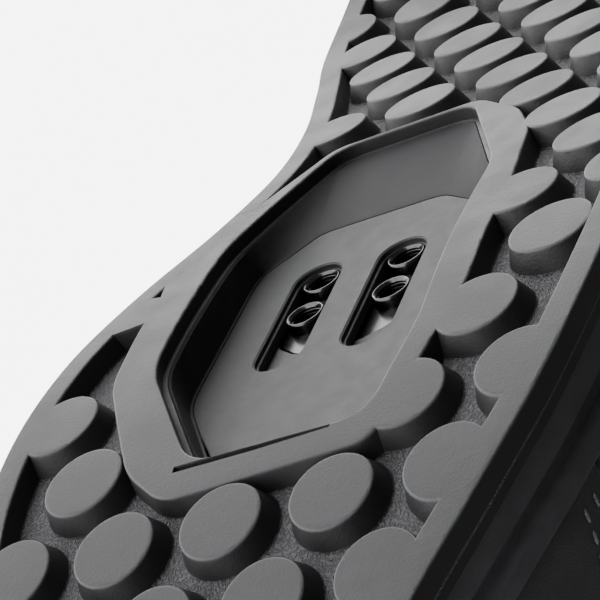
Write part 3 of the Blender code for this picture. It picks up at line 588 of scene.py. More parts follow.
def makeCleatFloor():
    # Floor of the pocket, with a thin groove left open along its front edge, and two stepped slots
    loop = floorLoop(gap)
    front = loop[:, 0].max()
    grooved = np.clip((loop[:, 0] - (front - 12 * mm)) / (8 * mm), 0, 1)
    shorter = np.c_[loop[:, 0] - 0.9 * mm * grooved, loop[:, 1]]
    edge = 0.35 * mm
    plate = link("cleat_pocket_floor", stacked("cleat_pocket_floor", [
        at(moved(shorter, -edge), 0), at(moved(shorter, -0.1 * mm), 0.1 * mm), at(shorter, edge),
        at(loop, 1.2 * mm), at(loop, pocket["floor"])]))
    tools = []
    for y in slotSides:
        def outline(grow):
            return slotLoop(cleat["slotLength"] + 2 * grow, cleat["slotWidth"] + 2 * grow, slotX, y)
        cutter = [at(outline(0.30 * mm), -0.5 * mm), at(outline(0.30 * mm), -0.01 * mm), at(outline(0), 0.22 * mm),
                  at(outline(-0.05 * mm), 0.85 * mm), at(outline(-0.3 * mm), 0.95 * mm),
                  at(outline(-0.36 * mm), 1.05 * mm), at(outline(-0.38 * mm), pocket["floor"] + 1 * mm)]
        tools.append(link("slot", stacked("slot", cutter)))
    for tool in tools:
        combine(plate, [tool], "DIFFERENCE")
    plate.data.transform(lying @ pocketFrame(pocket["depth"]))
    smoothen(plate, 30)
    return plate


def turned(profile, x, y, sides=40):
    # Closed turned piece: a loop of radius and height swung round an upright axis
    loops = []
    for radius, height in profile:
        loops.append([(x + radius * math.cos(turn), y + radius * math.sin(turn), height)
                      for turn in np.linspace(0, 2 * math.pi, sides, endpoint=False)])
    return ringed("boss", [np.array(loop) for loop in loops])


def makeNutPlate():
    outline = slotLoop(cleat["plateLength"], cleat["plateWidth"], nutX, cleat["side"])
    plate = link("cleat_nut_plate", stacked("cleat_nut_plate", [
        at(moved(outline, -0.3 * mm), 0), at(outline, 0.3 * mm), at(outline, cleat["plateThickness"])]))
    top = -(pocket["floor"] + 2 * gap - cleat["bossDrop"])
    bosses = []
    for number in range(4):
        x = nutX + (number % 2 - 0.5) * cleat["nutSpacing"]
        y = slotSides[number // 2]
        loop = slotLoop(2 * cleat["boss"] - 0.3 * mm, 2 * cleat["boss"] - 0.31 * mm, x, y)
        tool = link("bore", stacked("bore", [at(loop, -0.01), at(loop, 0.01)]))
        combine(plate, [tool], "DIFFERENCE")
        inner = cleat["thread"]
        profile = [(cleat["boss"], cleat["plateThickness"] - 0.1 * mm), (cleat["boss"], top + 0.35 * mm),
                   (cleat["boss"] - 0.12 * mm, top + 0.12 * mm), (cleat["boss"] - 0.35 * mm, top),
                   (inner + 0.55 * mm, top), (inner + 0.3 * mm, top + 0.12 * mm), (inner + 0.05 * mm, top + 0.45 * mm)]
        turns = int((cleat["plateThickness"] - top - 0.7 * mm) / cleat["threadPitch"])
        for ring in range(turns):
            base = top + 0.5 * mm + ring * cleat["threadPitch"]
            profile += [(inner + cleat["threadDepth"], base + 0.22 * cleat["threadPitch"]),
                        (inner + cleat["threadDepth"], base + 0.36 * cleat["threadPitch"]),
                        (inner, base + 0.62 * cleat["threadPitch"]), (inner, base + 0.86 * cleat["threadPitch"])]
        profile.append((inner, cleat["plateThickness"] - 0.1 * mm))
        bosses.append(turned(profile, x, y))
    work = bmesh.new()
    work.from_mesh(plate.data)
    for boss in bosses:
        work.from_mesh(boss)
    work.to_mesh(plate.data)
    work.free()
    plate.data.transform(lying @ pocketFrame(pocket["depth"] + pocket["floor"] + 2 * gap))
    smoothen(plate, 38, False)
    return plate


def dress(piece, node, slotName, *materials):
    piece.data.materials.clear()
    for material in materials:
        piece.data.materials.append(material)
    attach(piece, "root")
    if node:
        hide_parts(node)


midsole = makeMidsole()
pocketWall = makePocketWall()
cleatFloor = makeCleatFloor()
nutPlate = makeNutPlate()
print("midsole, pocket floor and nut plate made")


# Upper: the last is worked out again, finer, with its main creases
last = {
    "feather": 3 * mm, "wall": 2 * mm, "bulge": 0.055, "heel": 110 * mm, "heelTab": 64 * mm, "ankle": 47 * mm,
    "throatTop": 72 * mm, "instep": 79 * mm, "vamp": 50 * mm, "toeBox": 31 * mm, "nose": 6 * mm, "pinch": 0.14,
    "hollow": 6 * mm, "throatHalf": 12.5 * mm, "throatFlare": 7.5 * mm, "throatFront": 0.70, "throatRear": 0.42,
    "overlay": 1.1 * mm, "steps": 26,
}
# place along the shoe, lean, half width and depth of each soft trough, and the turns between which it runs
creases = ((0.722, 0.020, 0.0085, 0.9, 0.30, 1.00), (0.752, 0.030, 0.0080, 0.7, 0.42, 1.00),
           (0.690, 0.030, 0.0090, 0.6, 0.25, 0.80), (0.330, -0.050, 0.0110, 0.7, 0.30, 0.75),
           (0.300, 0.060, 0.0100, 0.5, 0.35, 0.80))
featherEdges = edgesOf(moved(soleLoop, -last["feather"]))
featherStart, featherEnd = featherEdges[0][0, 0], featherEdges[0][-1, 0]
fineShare = np.linspace(0, 1, 500)


def tabled(table):
    values = ease(table, fineShare)
    return lambda share: np.interp(share, fineShare, values)


sectionHeight = tabled((
    (0, last["heel"]), (0.15, last["heel"]), (0.32, last["heel"]), (0.40, 0.97 * last["heel"]),
    (0.45, 0.5 * (last["heel"] + last["instep"])), (0.50, last["instep"]),
    (0.57, 0.6 * last["instep"] + 0.4 * last["vamp"]), (0.64, 0.25 * last["instep"] + 0.75 * last["vamp"]),
    (0.72, last["vamp"]), (0.80, 0.6 * last["vamp"] + 0.4 * last["toeBox"]), (0.88, last["toeBox"] * 1.12),
    (0.94, last["toeBox"]), (0.972, 0.78 * last["toeBox"]), (0.99, 0.48 * last["toeBox"]), (1, last["nose"])))
fullness = tabled(((0, 2.9), (0.3, 2.7), (0.5, 2.15), (0.7, 2.05), (0.85, 2.3), (1, 2.4)))
swelling = tabled(((0, 0.6), (0.2, 1), (0.8, 1), (1, 0.3)))
rearPinch = tabled(((0, 1), (0.3, 0.9), (0.5, 0), (0.55, 0)))
backLean = tabled(((0, 1), (0.12, 0.8), (0.4, 0), (0.45, 0)))
collarHeight = tabled((
    (0, last["heelTab"]), (0.04, last["heelTab"] * 0.985), (0.12, 0.45 * last["heelTab"] + 0.55 * last["ankle"]),
    (0.22, last["ankle"]), (0.30, last["ankle"] * 1.02), (0.38, 0.6 * last["ankle"] + 0.4 * last["throatTop"]),
    (0.45, last["throatTop"]), (0.50, last["throatTop"] * 1.3)))


def onLast(share, turn, side):  # point on the smooth last; turn is 0 at the feather edge and 1 on the ridge
    x = featherStart + share * (featherEnd - featherStart)
    outer = np.interp(x, featherEdges[0][:, 0], featherEdges[0][:, 1])
    inner = np.interp(x, featherEdges[1][:, 0], featherEdges[1][:, 1])
    edge = inner if side > 0 else outer
    ridge = 0.5 * (outer + inner)
    power = 2 / fullness(share)
    angle = min(max(turn, 0.0), 1.0) * math.pi / 2
    across = max(math.cos(angle), 0.0) ** power if turn < 1 else 0.0
    rise = math.sin(angle) ** power if turn > 0 else 0.0
    height = sectionHeight(share) * rise
    swell = 1 + last["bulge"] * math.sin(math.pi * min(rise * 1.25, 1)) * swelling(share)
    pinch = 1 - last["pinch"] * rearPinch(share) * min(height / last["ankle"], 1.6) ** 2
    y = ridge + (edge - ridge) * across * swell * pinch
    back = height / last["heelTab"]
    lean = last["hollow"] * (back ** 2 - 0.9 * math.sin(math.pi * min(back, 1)) * 0.5)
    return np.array([x + backLean(share) * lean, y, bedHeight(min(max(x, 0), soleLength)) + gap + height])


def turnFor(test):  # smallest turn at which the test holds
    low, high = 0.0, 1.0
    for _ in range(26):
        middle = 0.5 * (low + high)
        low, high = (low, middle) if test(middle) else (middle, high)
    return 0.5 * (low + high)


def throatWidth(share):
    wide = last["throatHalf"] + last["throatFlare"] * max(0.0, (0.64 - share) / 0.16)
    roundShare = last["throatHalf"] / soleLength
    ahead = (share - (last["throatFront"] - roundShare)) / roundShare
    return wide * math.sqrt(max(0.0, 1 - max(0.0, ahead) ** 2))


def edgeTurn(share, side):  # where the upper ends at this station
    if share >= last["throatFront"]:
        return 1.0
    bed = bedHeight(featherStart + share * (featherEnd - featherStart)) + gap
    atCollar = turnFor(lambda turn: onLast(share, turn, side)[2] - bed > collarHeight(share))
    if share < last["throatRear"]:
        return atCollar
    half, middle = throatWidth(share), onLast(share, 1.0, side)[1]
    return min(atCollar, turnFor(lambda turn: abs(onLast(share, turn, side)[1] - middle) < half))


def normalAt(share, turn, side):
    step = 0.004
    low, high = max(share - step, 0.0), min(share + step, 1.0)
    along = onLast(high, turn, side) - onLast(low, turn, side)
    upward = onLast(share, min(turn + step, 1), side) - onLast(share, max(turn - step, 0), side)
    normal = np.cross(along, upward) * -side
    return normal / max(np.linalg.norm(normal), 1e-12)


def creased(share, turn, side):  # point on the worn upper, with the soft troughs pressed in
    point = onLast(share, turn, side)
    depth = 0.0
    for place, lean, half, deep, low, high in creases:
        if low - 0.1 < turn and abs(share - place) < 0.12:
            away = (share - place - lean * (1 - turn)) / half
            window = min(max((turn - low) / 0.15, 0), 1) * min(max((high + 0.05 - turn) / 0.08, 0), 1)
            depth += deep * mm * window * (math.exp(-away ** 2) - 0.35 * math.exp(-(abs(away) - 1.8) ** 2))
    return point - normalAt(share, turn, side) * depth if depth else point


baseShares = (
    0.000, 0.004, 0.014, 0.032, 0.060, 0.100, 0.150, 0.205, 0.265, 0.325, 0.380, 0.425, 0.460, 0.490,
    0.520, 0.555, 0.590, 0.625, 0.655, 0.678, 0.692, 0.700, 0.730, 0.765, 0.800, 0.835, 0.870, 0.900,
    0.928, 0.952, 0.972, 0.987, 0.996, 1.000)
shares = [a + (b - a) * k / 3 for a, b in zip(baseShares[:-1], baseShares[1:]) for k in range(3)] + [1.0]
topTurns = {side: [edgeTurn(share, side) for share in shares] for side in (-1, 1)}


def topTurn(share, side):
    return float(np.interp(share, shares, topTurns[side]))


def sheet(name, groups, inside, outside, lining, borders):
    # Solid sheet over groups of rows of (share, turn, side); UV is the place along and up the shoe in metres
    points, places, faces = [], [], []
    for rows in groups:
        start, across = len(points), len(rows[0])
        for row in rows:
            line, reach = [creased(*cell) for cell in row], 0.0
            for n, point in enumerate(line):
                reach += float(np.linalg.norm(point - line[n - 1])) if n else 0.0
                points.append(point)
                places.append((float(point[0]), reach))
        faces += [(start + k * across + n, start + (k + 1) * across + n, start + (k + 1) * across + n + 1,
                   start + k * across + n + 1) for k in range(len(rows) - 1) for n in range(across - 1)]
    mesh = bpy.data.meshes.new(name)
    mesh.from_pydata([tuple(point) for point in points], [], faces)
    layer = mesh.uv_layers.new(name="shoe")
    for loop in mesh.loops:
        layer.data[loop.index].uv = places[loop.vertex_index]
    work = bmesh.new()
    work.from_mesh(mesh)
    bmesh.ops.remove_doubles(work, verts=work.verts, dist=0.00003)
    bmesh.ops.dissolve_degenerate(work, dist=0.00003, edges=work.edges)
    bmesh.ops.recalc_face_normals(work, faces=work.faces)
    centre = Vector((0.5 * soleLength, 0, 0.03))
    facing = sum(face.normal.dot(face.calc_center_median() - centre) * face.calc_area() for face in work.faces)
    if facing < 0:
        bmesh.ops.reverse_faces(work, faces=work.faces)
    work.normal_update()
    for vertex, normal in [(vertex, vertex.normal.copy()) for vertex in work.verts]:
        vertex.co += normal * outside
    work.to_mesh(mesh)
    work.free()
    thing = link(name, mesh)
    solid = thing.modifiers.new("thickness", "SOLIDIFY")
    solid.thickness = outside - inside
    solid.offset = -1
    solid.use_even_offset = True
    solid.use_quality_normals = not lining
    if lining:
        solid.material_offset = 1
    if borders:
        soft = thing.modifiers.new("soft border", "BEVEL")
        soft.width = borders
        soft.segments = 2
        soft.limit_method = "ANGLE"
        soft.angle_limit = math.radians(50)
    bpy.context.view_layer.update()
    graph = bpy.context.evaluated_depsgraph_get()
    final = bpy.data.meshes.new_from_object(thing.evaluated_get(graph))
    thing.modifiers.clear()
    thing.data = final
    final.transform(lying)
    smoothen(thing, 45, False)
    return thing


def makeUpper():
    # Both sides run from the feather edge to the collar, throat or ridge, and meet at heel and nose
    groups = [[[(share, topTurn(share, side) * (n / last["steps"]) ** 0.9, side) for n in range(last["steps"] + 1)]
               for share in shares] for side in (-1, 1)]
    return sheet("upper_mesh", groups, -last["wall"], 0.0, True, 0.4 * mm)


def between(low, high, count):
    return [low + (high - low) * k / count for k in range(count + 1)]


overlays = {
    "toeFront": 0.83, "toeLean": 0.035, "counterEnd": 0.205, "counterLean": 0.05, "stayRear": 0.452, "stayWide": 0.17,
    "soft": 0.3 * mm,
}


def stayShape(share):  # how the eyestay widens and narrows along the shoe
    return 1 + 0.35 * math.sin((share - 0.45) * 9)


def makeOverlays():
    pieces = []

    def add(node, rows):
        name = node + "_overlay"
        pieces.append((node, sheet(name, [rows], gap, gap + last["overlay"], False, overlays["soft"])))

    # toe cap: its rear edge sweeps back towards the sole
    rows = []
    for k in range(31):
        part = (k / 30) ** 0.8
        half = []
        for n in range(23):
            turn = n / 22
            start = overlays["toeFront"] - overlays["toeLean"] * (1 - turn) ** 2
            half.append((start + (1 - start) * part, turn))
        rows.append([(share, turn, -1) for share, turn in half] + [(share, turn, 1) for share, turn in half[-2::-1]])
    add("toe_cap", rows)
    # heel counter: both sides from one front edge round the heel to the other
    rows = []
    top = lambda share, side: 0.86 * topTurn(share, side)
    for n in range(19):
        row = []
        for side, order in ((-1, range(20, -1, -1)), (1, range(1, 21))):
            for k in order:
                up = n / 18
                end = overlays["counterEnd"] + overlays["counterLean"] * (1 - up) ** 1.5
                share = end * (k / 20) ** 1.25
                row.append((share, top(share, side) * up, side))
        rows.append(row)
    add("heel_counter", rows)
    for side, name in ((1, "eyestay_inner"), (-1, "eyestay_outer")):
        wanted = between(overlays["stayRear"], last["throatFront"] + 0.012, 40)
        rows = []
        for share in wanted:
            end = min(topTurn(share, side), 0.995)
            wide = overlays["stayWide"] * stayShape(share)
            rows.append([(share, end - wide * (1 - n / 8), side) for n in range(9)])
        add(name, rows)
    return pieces


def acrossPoint(share, offset):  # point and direction at a signed distance from the ridge line
    side = 1 if offset >= 0 else -1
    middle = onLast(share, 1.0, side)[1]
    if abs(offset) < 0.5 * mm:
        a, b = (normalAt(share, 0.985, s) for s in (-1, 1))
        return onLast(share, 1.0, side), (a + b) / np.linalg.norm(a + b)
    turn = turnFor(lambda t: abs(onLast(share, t, side)[1] - middle) < abs(offset))
    return onLast(share, turn, side), normalAt(share, turn, side)


lacing = {"shares": (0.505, 0.545, 0.585, 0.625, 0.665), "fromEdge": 7.5 * mm, "eyelet": 2.1 * mm,
          "half": 2.3 * mm, "thick": 0.55 * mm, "tongue": 3.6 * mm, "tongueHalf": 24 * mm, "tongueGap": 1.2 * mm}


def makeTongue():
    stations = between(0.440, 0.738, 34)
    points, faces = [], []
    steps = np.linspace(-1, 1, 19)
    for layer in (0, 1):
        for k, share in enumerate(stations):
            narrow = 1 - 0.24 * max(0.0, 1 - k / 4) ** 2
            for step in steps:
                point, normal = acrossPoint(share, step * lacing["tongueHalf"] * narrow)
                edge = max(0.0, 1 - step ** 6) ** 0.5
                ends = min(1.0, (k + 0.4) / 3, (len(stations) - k - 0.6) / 3)
                middle = last["wall"] + lacing["tongueGap"] + lacing["tongue"] / 2
                swell = 0.5 * lacing["tongue"] * (0.35 + 0.65 * edge * ends)
                points.append(point - normal * (middle + (swell if layer == 0 else -swell)))
    across, total = len(steps), len(stations) * len(steps)
    for k in range(len(stations) - 1):
        for n in range(across - 1):
            ring = (k * across + n, k * across + n + 1, (k + 1) * across + n + 1, (k + 1) * across + n)
            faces += [ring, tuple(total + corner for corner in reversed(ring))]
    rim = list(range(across)) + [k * across + across - 1 for k in range(1, len(stations))]
    rim += [(len(stations) - 1) * across + n for n in range(across - 2, -1, -1)]
    rim += [k * across for k in range(len(stations) - 2, 0, -1)]
    for n, corner in enumerate(rim):
        after = rim[(n + 1) % len(rim)]
        faces.append((corner, after, total + after, total + corner))
    tongue = link("tongue_padded", meshFrom("tongue_padded", points, faces, 1e-6))
    tongue.data.transform(lying)
    smoothen(tongue, 60, False)
    return tongue


def makeInsole():
    inset = (last["feather"] + last["wall"] + 1.2 * mm) / mm
    def low(x):
        return bedHeight(x) + gap
    levels = ((0.0, 0.6), (0.15, 0.1), (0.35, 0.0), (0.75, 0.0), (0.92, 0.3), (1.0, 1.0))
    levels = [((lambda x, share=share: low(x) + share * 3 * mm), (inset + more) * mm) for share, more in levels]
    insole = link("insole_board", bandedSlab("insole_board", soleLoop, levels, 90))
    insole.data.transform(lying)
    smoothen(insole, 40, False)
    return insole


def makeCollarPad():
    # Padded ankle: a swollen band inside the collar, from one side of the throat round the heel to the other
    wanted = between(0.0, 0.425, 34)
    order = [(share, -1) for share in wanted[::-1]] + [(share, 1) for share in wanted[1:]]
    loops = []
    for share, side in order:
        top = topTurn(share, side)
        fade = min(1.0, (0.43 - share) / 0.06 + 0.25)
        outer, inner = [], []
        for n in range(11):
            part = n / 10
            turn = top * (1.0 - 0.48 * part)
            point, normal = onLast(share, turn, side), normalAt(max(share, 0.006), turn, side)
            swell = (0.25 + 3.6 * math.sin(math.pi * min(0.06 + part, 1.0)) ** 0.65 * fade) * mm
            outer.append(point - normal * (last["wall"] + 0.1 * mm))
            inner.append(point - normal * (last["wall"] + 0.15 * mm + swell))
        loops.append(np.array(outer + inner[::-1]))
    size = len(loops[0])
    points, faces = np.vstack(loops), [tuple(range(size)), tuple(range((len(loops) - 1) * size, len(loops) * size))]
    for k in range(len(loops) - 1):
        faces += [(k * size + n, k * size + (n + 1) % size, (k + 1) * size + (n + 1) % size, (k + 1) * size + n)
                  for n in range(size)]
    pad = link("collar_padding", meshFrom("collar_padding", points, faces, 1e-6))
    pad.data.transform(lying)
    smoothen(pad, 60, False)
    return pad


def makeEyelets():
    # Rings on both eyestays. The sheets under them have no punched holes.
    work = bmesh.new()
    lift = gap + last["overlay"]
    radius = lacing["eyelet"]
    low = -last["wall"] - 0.2 * mm
    # radius and height, from the outer foot over the crown and down the bore
    profile = [(radius + 1.5 * mm, lift - 0.1 * mm), (radius + 1.3 * mm, lift + 0.45 * mm),
               (radius + 0.6 * mm, lift + 0.62 * mm), (radius + 0.05 * mm, lift + 0.35 * mm),
               (radius - 0.1 * mm, lift - 0.4 * mm), (radius - 0.1 * mm, low),
               (radius + 0.2 * mm, low), (radius + 0.3 * mm, lift - 0.3 * mm)]
    for side in (-1, 1):
        for share in lacing["shares"]:
            middle, normal = acrossPoint(share, side * (throatWidth(share) + lacing["fromEdge"]))
            mesh = turned(profile, 0, 0, 24)
            place = Matrix.Translation(Vector(middle)) @ Vector(normal).to_track_quat("Z", "Y").to_matrix().to_4x4()
            mesh.transform(place)
            work.from_mesh(mesh)
    mesh = bpy.data.meshes.new("eyelet_rings")
    work.to_mesh(mesh)
    work.free()
    mesh.transform(lying)
    rings = link("eyelet_rings", mesh)
    smoothen(rings, 40, False)
    return rings


def makeLace():
    # One flat lace: a bar over the throat from eyelet to eyelet, then under the eyestay to the next bar
    over, under = gap + last["overlay"] + 1.25 * mm, -last["wall"] - 0.62 * mm
    path, side = [], 1
    for share in lacing["shares"]:
        reach = throatWidth(share) + lacing["fromEdge"]
        bar = []
        half = [(1.0, under), (1.0, -0.3 * mm), (0.985, over * 0.75), (0.86, over), (0.6, over), (0.3, over)]
        for step, lift in half + [(0, over)] + [(-step, lift) for step, lift in half[::-1]]:
            point, normal = acrossPoint(share, side * step * reach)
            bar.append((point + normal * lift, normal))
        path += bar
        side = -side
    dense, count = [], len(path)
    for k in range(count - 1):
        before, start, end, after = (path[min(max(k + step, 0), count - 1)] for step in (-1, 0, 1, 2))
        for s in (0, 0.25, 0.5, 0.75):
            point = 0.5 * (2 * start[0] + (end[0] - before[0]) * s
                           + (2 * before[0] - 5 * start[0] + 4 * end[0] - after[0]) * s ** 2
                           + (3 * start[0] - before[0] - 3 * end[0] + after[0]) * s ** 3)
            dense.append((point, start[1] * (1 - s) + end[1] * s))
    loops = []
    for k, (point, normal) in enumerate(dense):
        ahead = dense[min(k + 1, len(dense) - 1)][0] - dense[max(k - 1, 0)][0]
        ahead /= max(np.linalg.norm(ahead), 1e-9)
        along = np.array([1.0, 0, 0]) - ahead * ahead[0]
        along /= max(np.linalg.norm(along), 1e-9)
        upward = np.cross(along, ahead)
        tight = 0.72 if abs(np.dot(ahead, normal)) > 0.5 else 1.0
        wide = along * lacing["half"] * tight
        tall = upward * lacing["thick"] * (1.25 if tight < 1 else 1)
        loops.append(np.array([point + wide * math.cos(a) + tall * math.sin(a)
                               for a in np.linspace(0, 2 * math.pi, 14, endpoint=False)]))
    lace = link("lace_flat", stacked("lace_flat", loops))
    lace.data.transform(lying)
    smoothen(lace, 50, False)
    return lace


stitching = {"length": 1.9 * mm, "gap": 1.1 * mm, "radius": 0.24 * mm}


def makeStitches():
    # Rows of short threads a little inside the borders of the overlays
    lift = gap + last["overlay"] + 0.05 * mm
    lines = []
    for side in (-1, 1):
        for inset in (0.016, 0.030):
            line = []
            for n in range(60):
                turn = n / 59 * 0.96 + 0.03
                share = overlays["toeFront"] - overlays["toeLean"] * (1 - turn) ** 2 + inset * 0.6
                line.append(onLast(share, turn, side) + normalAt(share, turn, side) * lift)
            lines.append(line)
        for inset, shaped in ((0.02, False), (0.155, True)):
            line = []
            for share in between(0.458, 0.70, 60):
                turn = min(topTurn(share, side), 0.995) - inset * (stayShape(share) if shaped else 1)
                line.append(onLast(share, turn, side) + normalAt(share, turn, side) * lift)
            lines.append(line)
        line = []
        for n in range(50):
            up = n / 49 * 0.93 + 0.03
            share = overlays["counterEnd"] + overlays["counterLean"] * (1 - up) ** 1.5 - 0.012
            turn = 0.86 * topTurn(share, side) * up
            line.append(onLast(share, turn, side) + normalAt(share, turn, side) * lift)
        lines.append(line)
    points, faces = [], []
    for line in lines:
        line = np.array(line)
        reach = np.r_[0, np.cumsum(np.linalg.norm(np.diff(line, axis=0), axis=1))]
        place = 0.0
        while place + stitching["length"] < reach[-1]:
            ends = [np.array([np.interp(place + extra, reach, line[:, axis]) for axis in range(3)])
                    for extra in (0, stitching["length"])]
            ahead = (ends[1] - ends[0]) / max(np.linalg.norm(ends[1] - ends[0]), 1e-9)
            aside = np.cross(ahead, (0.3, 0.5, 0.8))
            aside /= np.linalg.norm(aside)
            other = np.cross(ahead, aside)
            start = len(points)
            for share, size in ((0.0, 0.35), (0.18, 0.9), (0.5, 1.0), (0.82, 0.9), (1.0, 0.35)):
                middle = ends[0] + (ends[1] - ends[0]) * share
                points += [middle + (aside * math.cos(a) + other * math.sin(a)) * stitching["radius"] * size
                           for a in np.linspace(0, 2 * math.pi, 6, endpoint=False)]
            for ring in range(4):
                faces += [(start + ring * 6 + n, start + ring * 6 + (n + 1) % 6,
                           start + (ring + 1) * 6 + (n + 1) % 6, start + (ring + 1) * 6 + n) for n in range(6)]
            faces += [tuple(range(start, start + 6)), tuple(range(start + 24, start + 30))]
            place += stitching["length"] + stitching["gap"]
    stitches = link("stitches", meshFrom("stitches", points, faces, 1e-7))
    stitches.data.transform(lying)
    smoothen(stitches, 60, False)
    return stitches


upper = makeUpper()
overlayPieces = makeOverlays()
print("upper and overlays made")
tongue, insole, collarPad = makeTongue(), makeInsole(), makeCollarPad()
eyelets, lace, stitches = makeEyelets(), makeLace(), makeStitches()
print("tongue, insole, padding, eyelets, lace and stitches made")


# Materials
def nodesOf(name):
    material = bpy.data.materials.new(name)
    material.use_nodes = True
    tree = material.node_tree
    return material, tree, tree.nodes["Principled BSDF"]


def newGroup(name, inputs, outputs):
    group = bpy.data.node_groups.new(name, "ShaderNodeTree")
    for label, kind, value in inputs:
        socket = group.interface.new_socket(name=label, in_out="INPUT", socket_type=kind)
        if value is not None:
            socket.default_value = value
    for label, kind in outputs:
        group.interface.new_socket(name=label, in_out="OUTPUT", socket_type=kind)
    return group, group.nodes.new("NodeGroupInput"), group.nodes.new("NodeGroupOutput")


def math2(tree, operation, a, b=None, c=None, clamp=False):
    node = tree.nodes.new("ShaderNodeMath")
    node.operation = operation
    node.use_clamp = clamp
    for socket, value in zip(node.inputs, (a, b, c)):
        if value is None:
            continue
        if isinstance(value, (int, float)):
            socket.default_value = value
        else:
            tree.links.new(value, socket)
    return node.outputs[0]


def spread(tree, value, low, high, toLow=0.0, toHigh=1.0):
    node = tree.nodes.new("ShaderNodeMapRange")
    node.interpolation_type = "SMOOTHSTEP"
    tree.links.new(value, node.inputs["Value"])
    for label, number in (("From Min", low), ("From Max", high), ("To Min", toLow), ("To Max", toHigh)):
        node.inputs[label].default_value = number
    return node.outputs["Result"]


def noise(tree, coordinates, scale, detail=3.0, rough=0.55):
    node = tree.nodes.new("ShaderNodeTexNoise")
    tree.links.new(coordinates, node.inputs["Vector"])
    if isinstance(scale, (int, float)):
        node.inputs["Scale"].default_value = scale
    else:
        tree.links.new(scale, node.inputs["Scale"])
    node.inputs["Detail"].default_value = detail
    node.inputs["Roughness"].default_value = rough
    return node.outputs["Fac"]


def blendColours(tree, factor, first, second):
    node = tree.nodes.new("ShaderNodeMix")
    node.data_type = "RGBA"
    tree.links.new(factor, node.inputs[0])
    for socket, value in ((node.inputs[6], first), (node.inputs[7], second)):
        if isinstance(value, tuple):
            socket.default_value = (*value, 1)
        else:
            tree.links.new(value, socket)
    return node.outputs[2]


def makeGrainGroup():
    # Moulded grain: soft worms with finer grit on them
    group, into, out = newGroup("mouldedGrain", (("Coordinates", "NodeSocketVector", None),
                                                 ("Scale", "NodeSocketFloat", 1500.0)),
                                (("Height", "NodeSocketFloat"), ("Mottle", "NodeSocketFloat")))
    position, scale = into.outputs[0], into.outputs[1]
    worm = noise(group, position, scale, 1.5, 0.5)
    ridge = math2(group, "ABSOLUTE", math2(group, "SUBTRACT", worm, 0.5))
    ridge = spread(group, ridge, 0.0, 0.12)
    grit = noise(group, position, math2(group, "MULTIPLY", scale, 3.1), 2.0, 0.6)
    height = math2(group, "MULTIPLY_ADD", grit, 0.35, math2(group, "MULTIPLY", ridge, 0.65))
    group.links.new(height, out.inputs["Height"])
    group.links.new(noise(group, position, math2(group, "MULTIPLY", scale, 0.08), 4.0, 0.6), out.inputs["Mottle"])
    return group


def makeWeaveGroup():
    # Open mesh: rows of small rounded holes, every second row shifted by half a step
    group, into, out = newGroup("openMesh", (("Coordinates", "NodeSocketVector", None),
                                             ("Scale", "NodeSocketFloat", 900.0)),
                                (("Height", "NodeSocketFloat"), ("Holes", "NodeSocketFloat")))
    scaled = group.nodes.new("ShaderNodeVectorMath")
    scaled.operation = "SCALE"
    group.links.new(into.outputs[0], scaled.inputs[0])
    group.links.new(into.outputs[1], scaled.inputs["Scale"])
    parts = group.nodes.new("ShaderNodeSeparateXYZ")
    group.links.new(scaled.outputs[0], parts.inputs[0])
    u, v = parts.outputs[0], parts.outputs[1]
    row = math2(group, "FLOOR", v)
    shift = math2(group, "MULTIPLY", math2(group, "MODULO", math2(group, "ABSOLUTE", row), 2.0), 0.5)
    across = math2(group, "SUBTRACT", math2(group, "FRACT", math2(group, "ADD", u, shift)), 0.5)
    upward = math2(group, "SUBTRACT", math2(group, "FRACT", v), 0.5)
    away = math2(group, "SQRT", math2(group, "ADD", math2(group, "MULTIPLY", across, across),
                                      math2(group, "MULTIPLY", upward, upward)))
    hole = spread(group, away, 0.34, 0.22)
    group.links.new(spread(group, away, 0.2, 0.5), out.inputs["Height"])
    group.links.new(hole, out.inputs["Holes"])
    return group


grainGroup = makeGrainGroup()
weaveGroup = makeWeaveGroup()


def useGroup(tree, group, coordinates, scale):
    node = tree.nodes.new("ShaderNodeGroup")
    node.node_tree = group
    tree.links.new(coordinates, node.inputs["Coordinates"])
    node.inputs["Scale"].default_value = scale
    return node


def addBump(tree, shader, height, strength, distance):
    node = tree.nodes.new("ShaderNodeBump")
    node.inputs["Strength"].default_value = strength
    node.inputs["Distance"].default_value = distance
    tree.links.new(height, node.inputs["Height"])
    tree.links.new(node.outputs[0], shader.inputs["Normal"])


# Rubber tones: the dark and light tones mottle at random. The pale edge tone is a painted highlight on the soft top
# edges, the side tone is painted shade on the walls, and the grey base tone is painted light between the lugs.
rubber = {"dark": (0.0065, 0.0066, 0.0072), "light": (0.0165, 0.0168, 0.0182), "side": (0.0075, 0.0075, 0.0082),
          "paintedEdgeHighlight": (0.06, 0.061, 0.065), "paintedBaseLight": (0.050, 0.050, 0.053), "shine": 0.2, "roughness": 0.5,
          "grainScale": 1500.0}


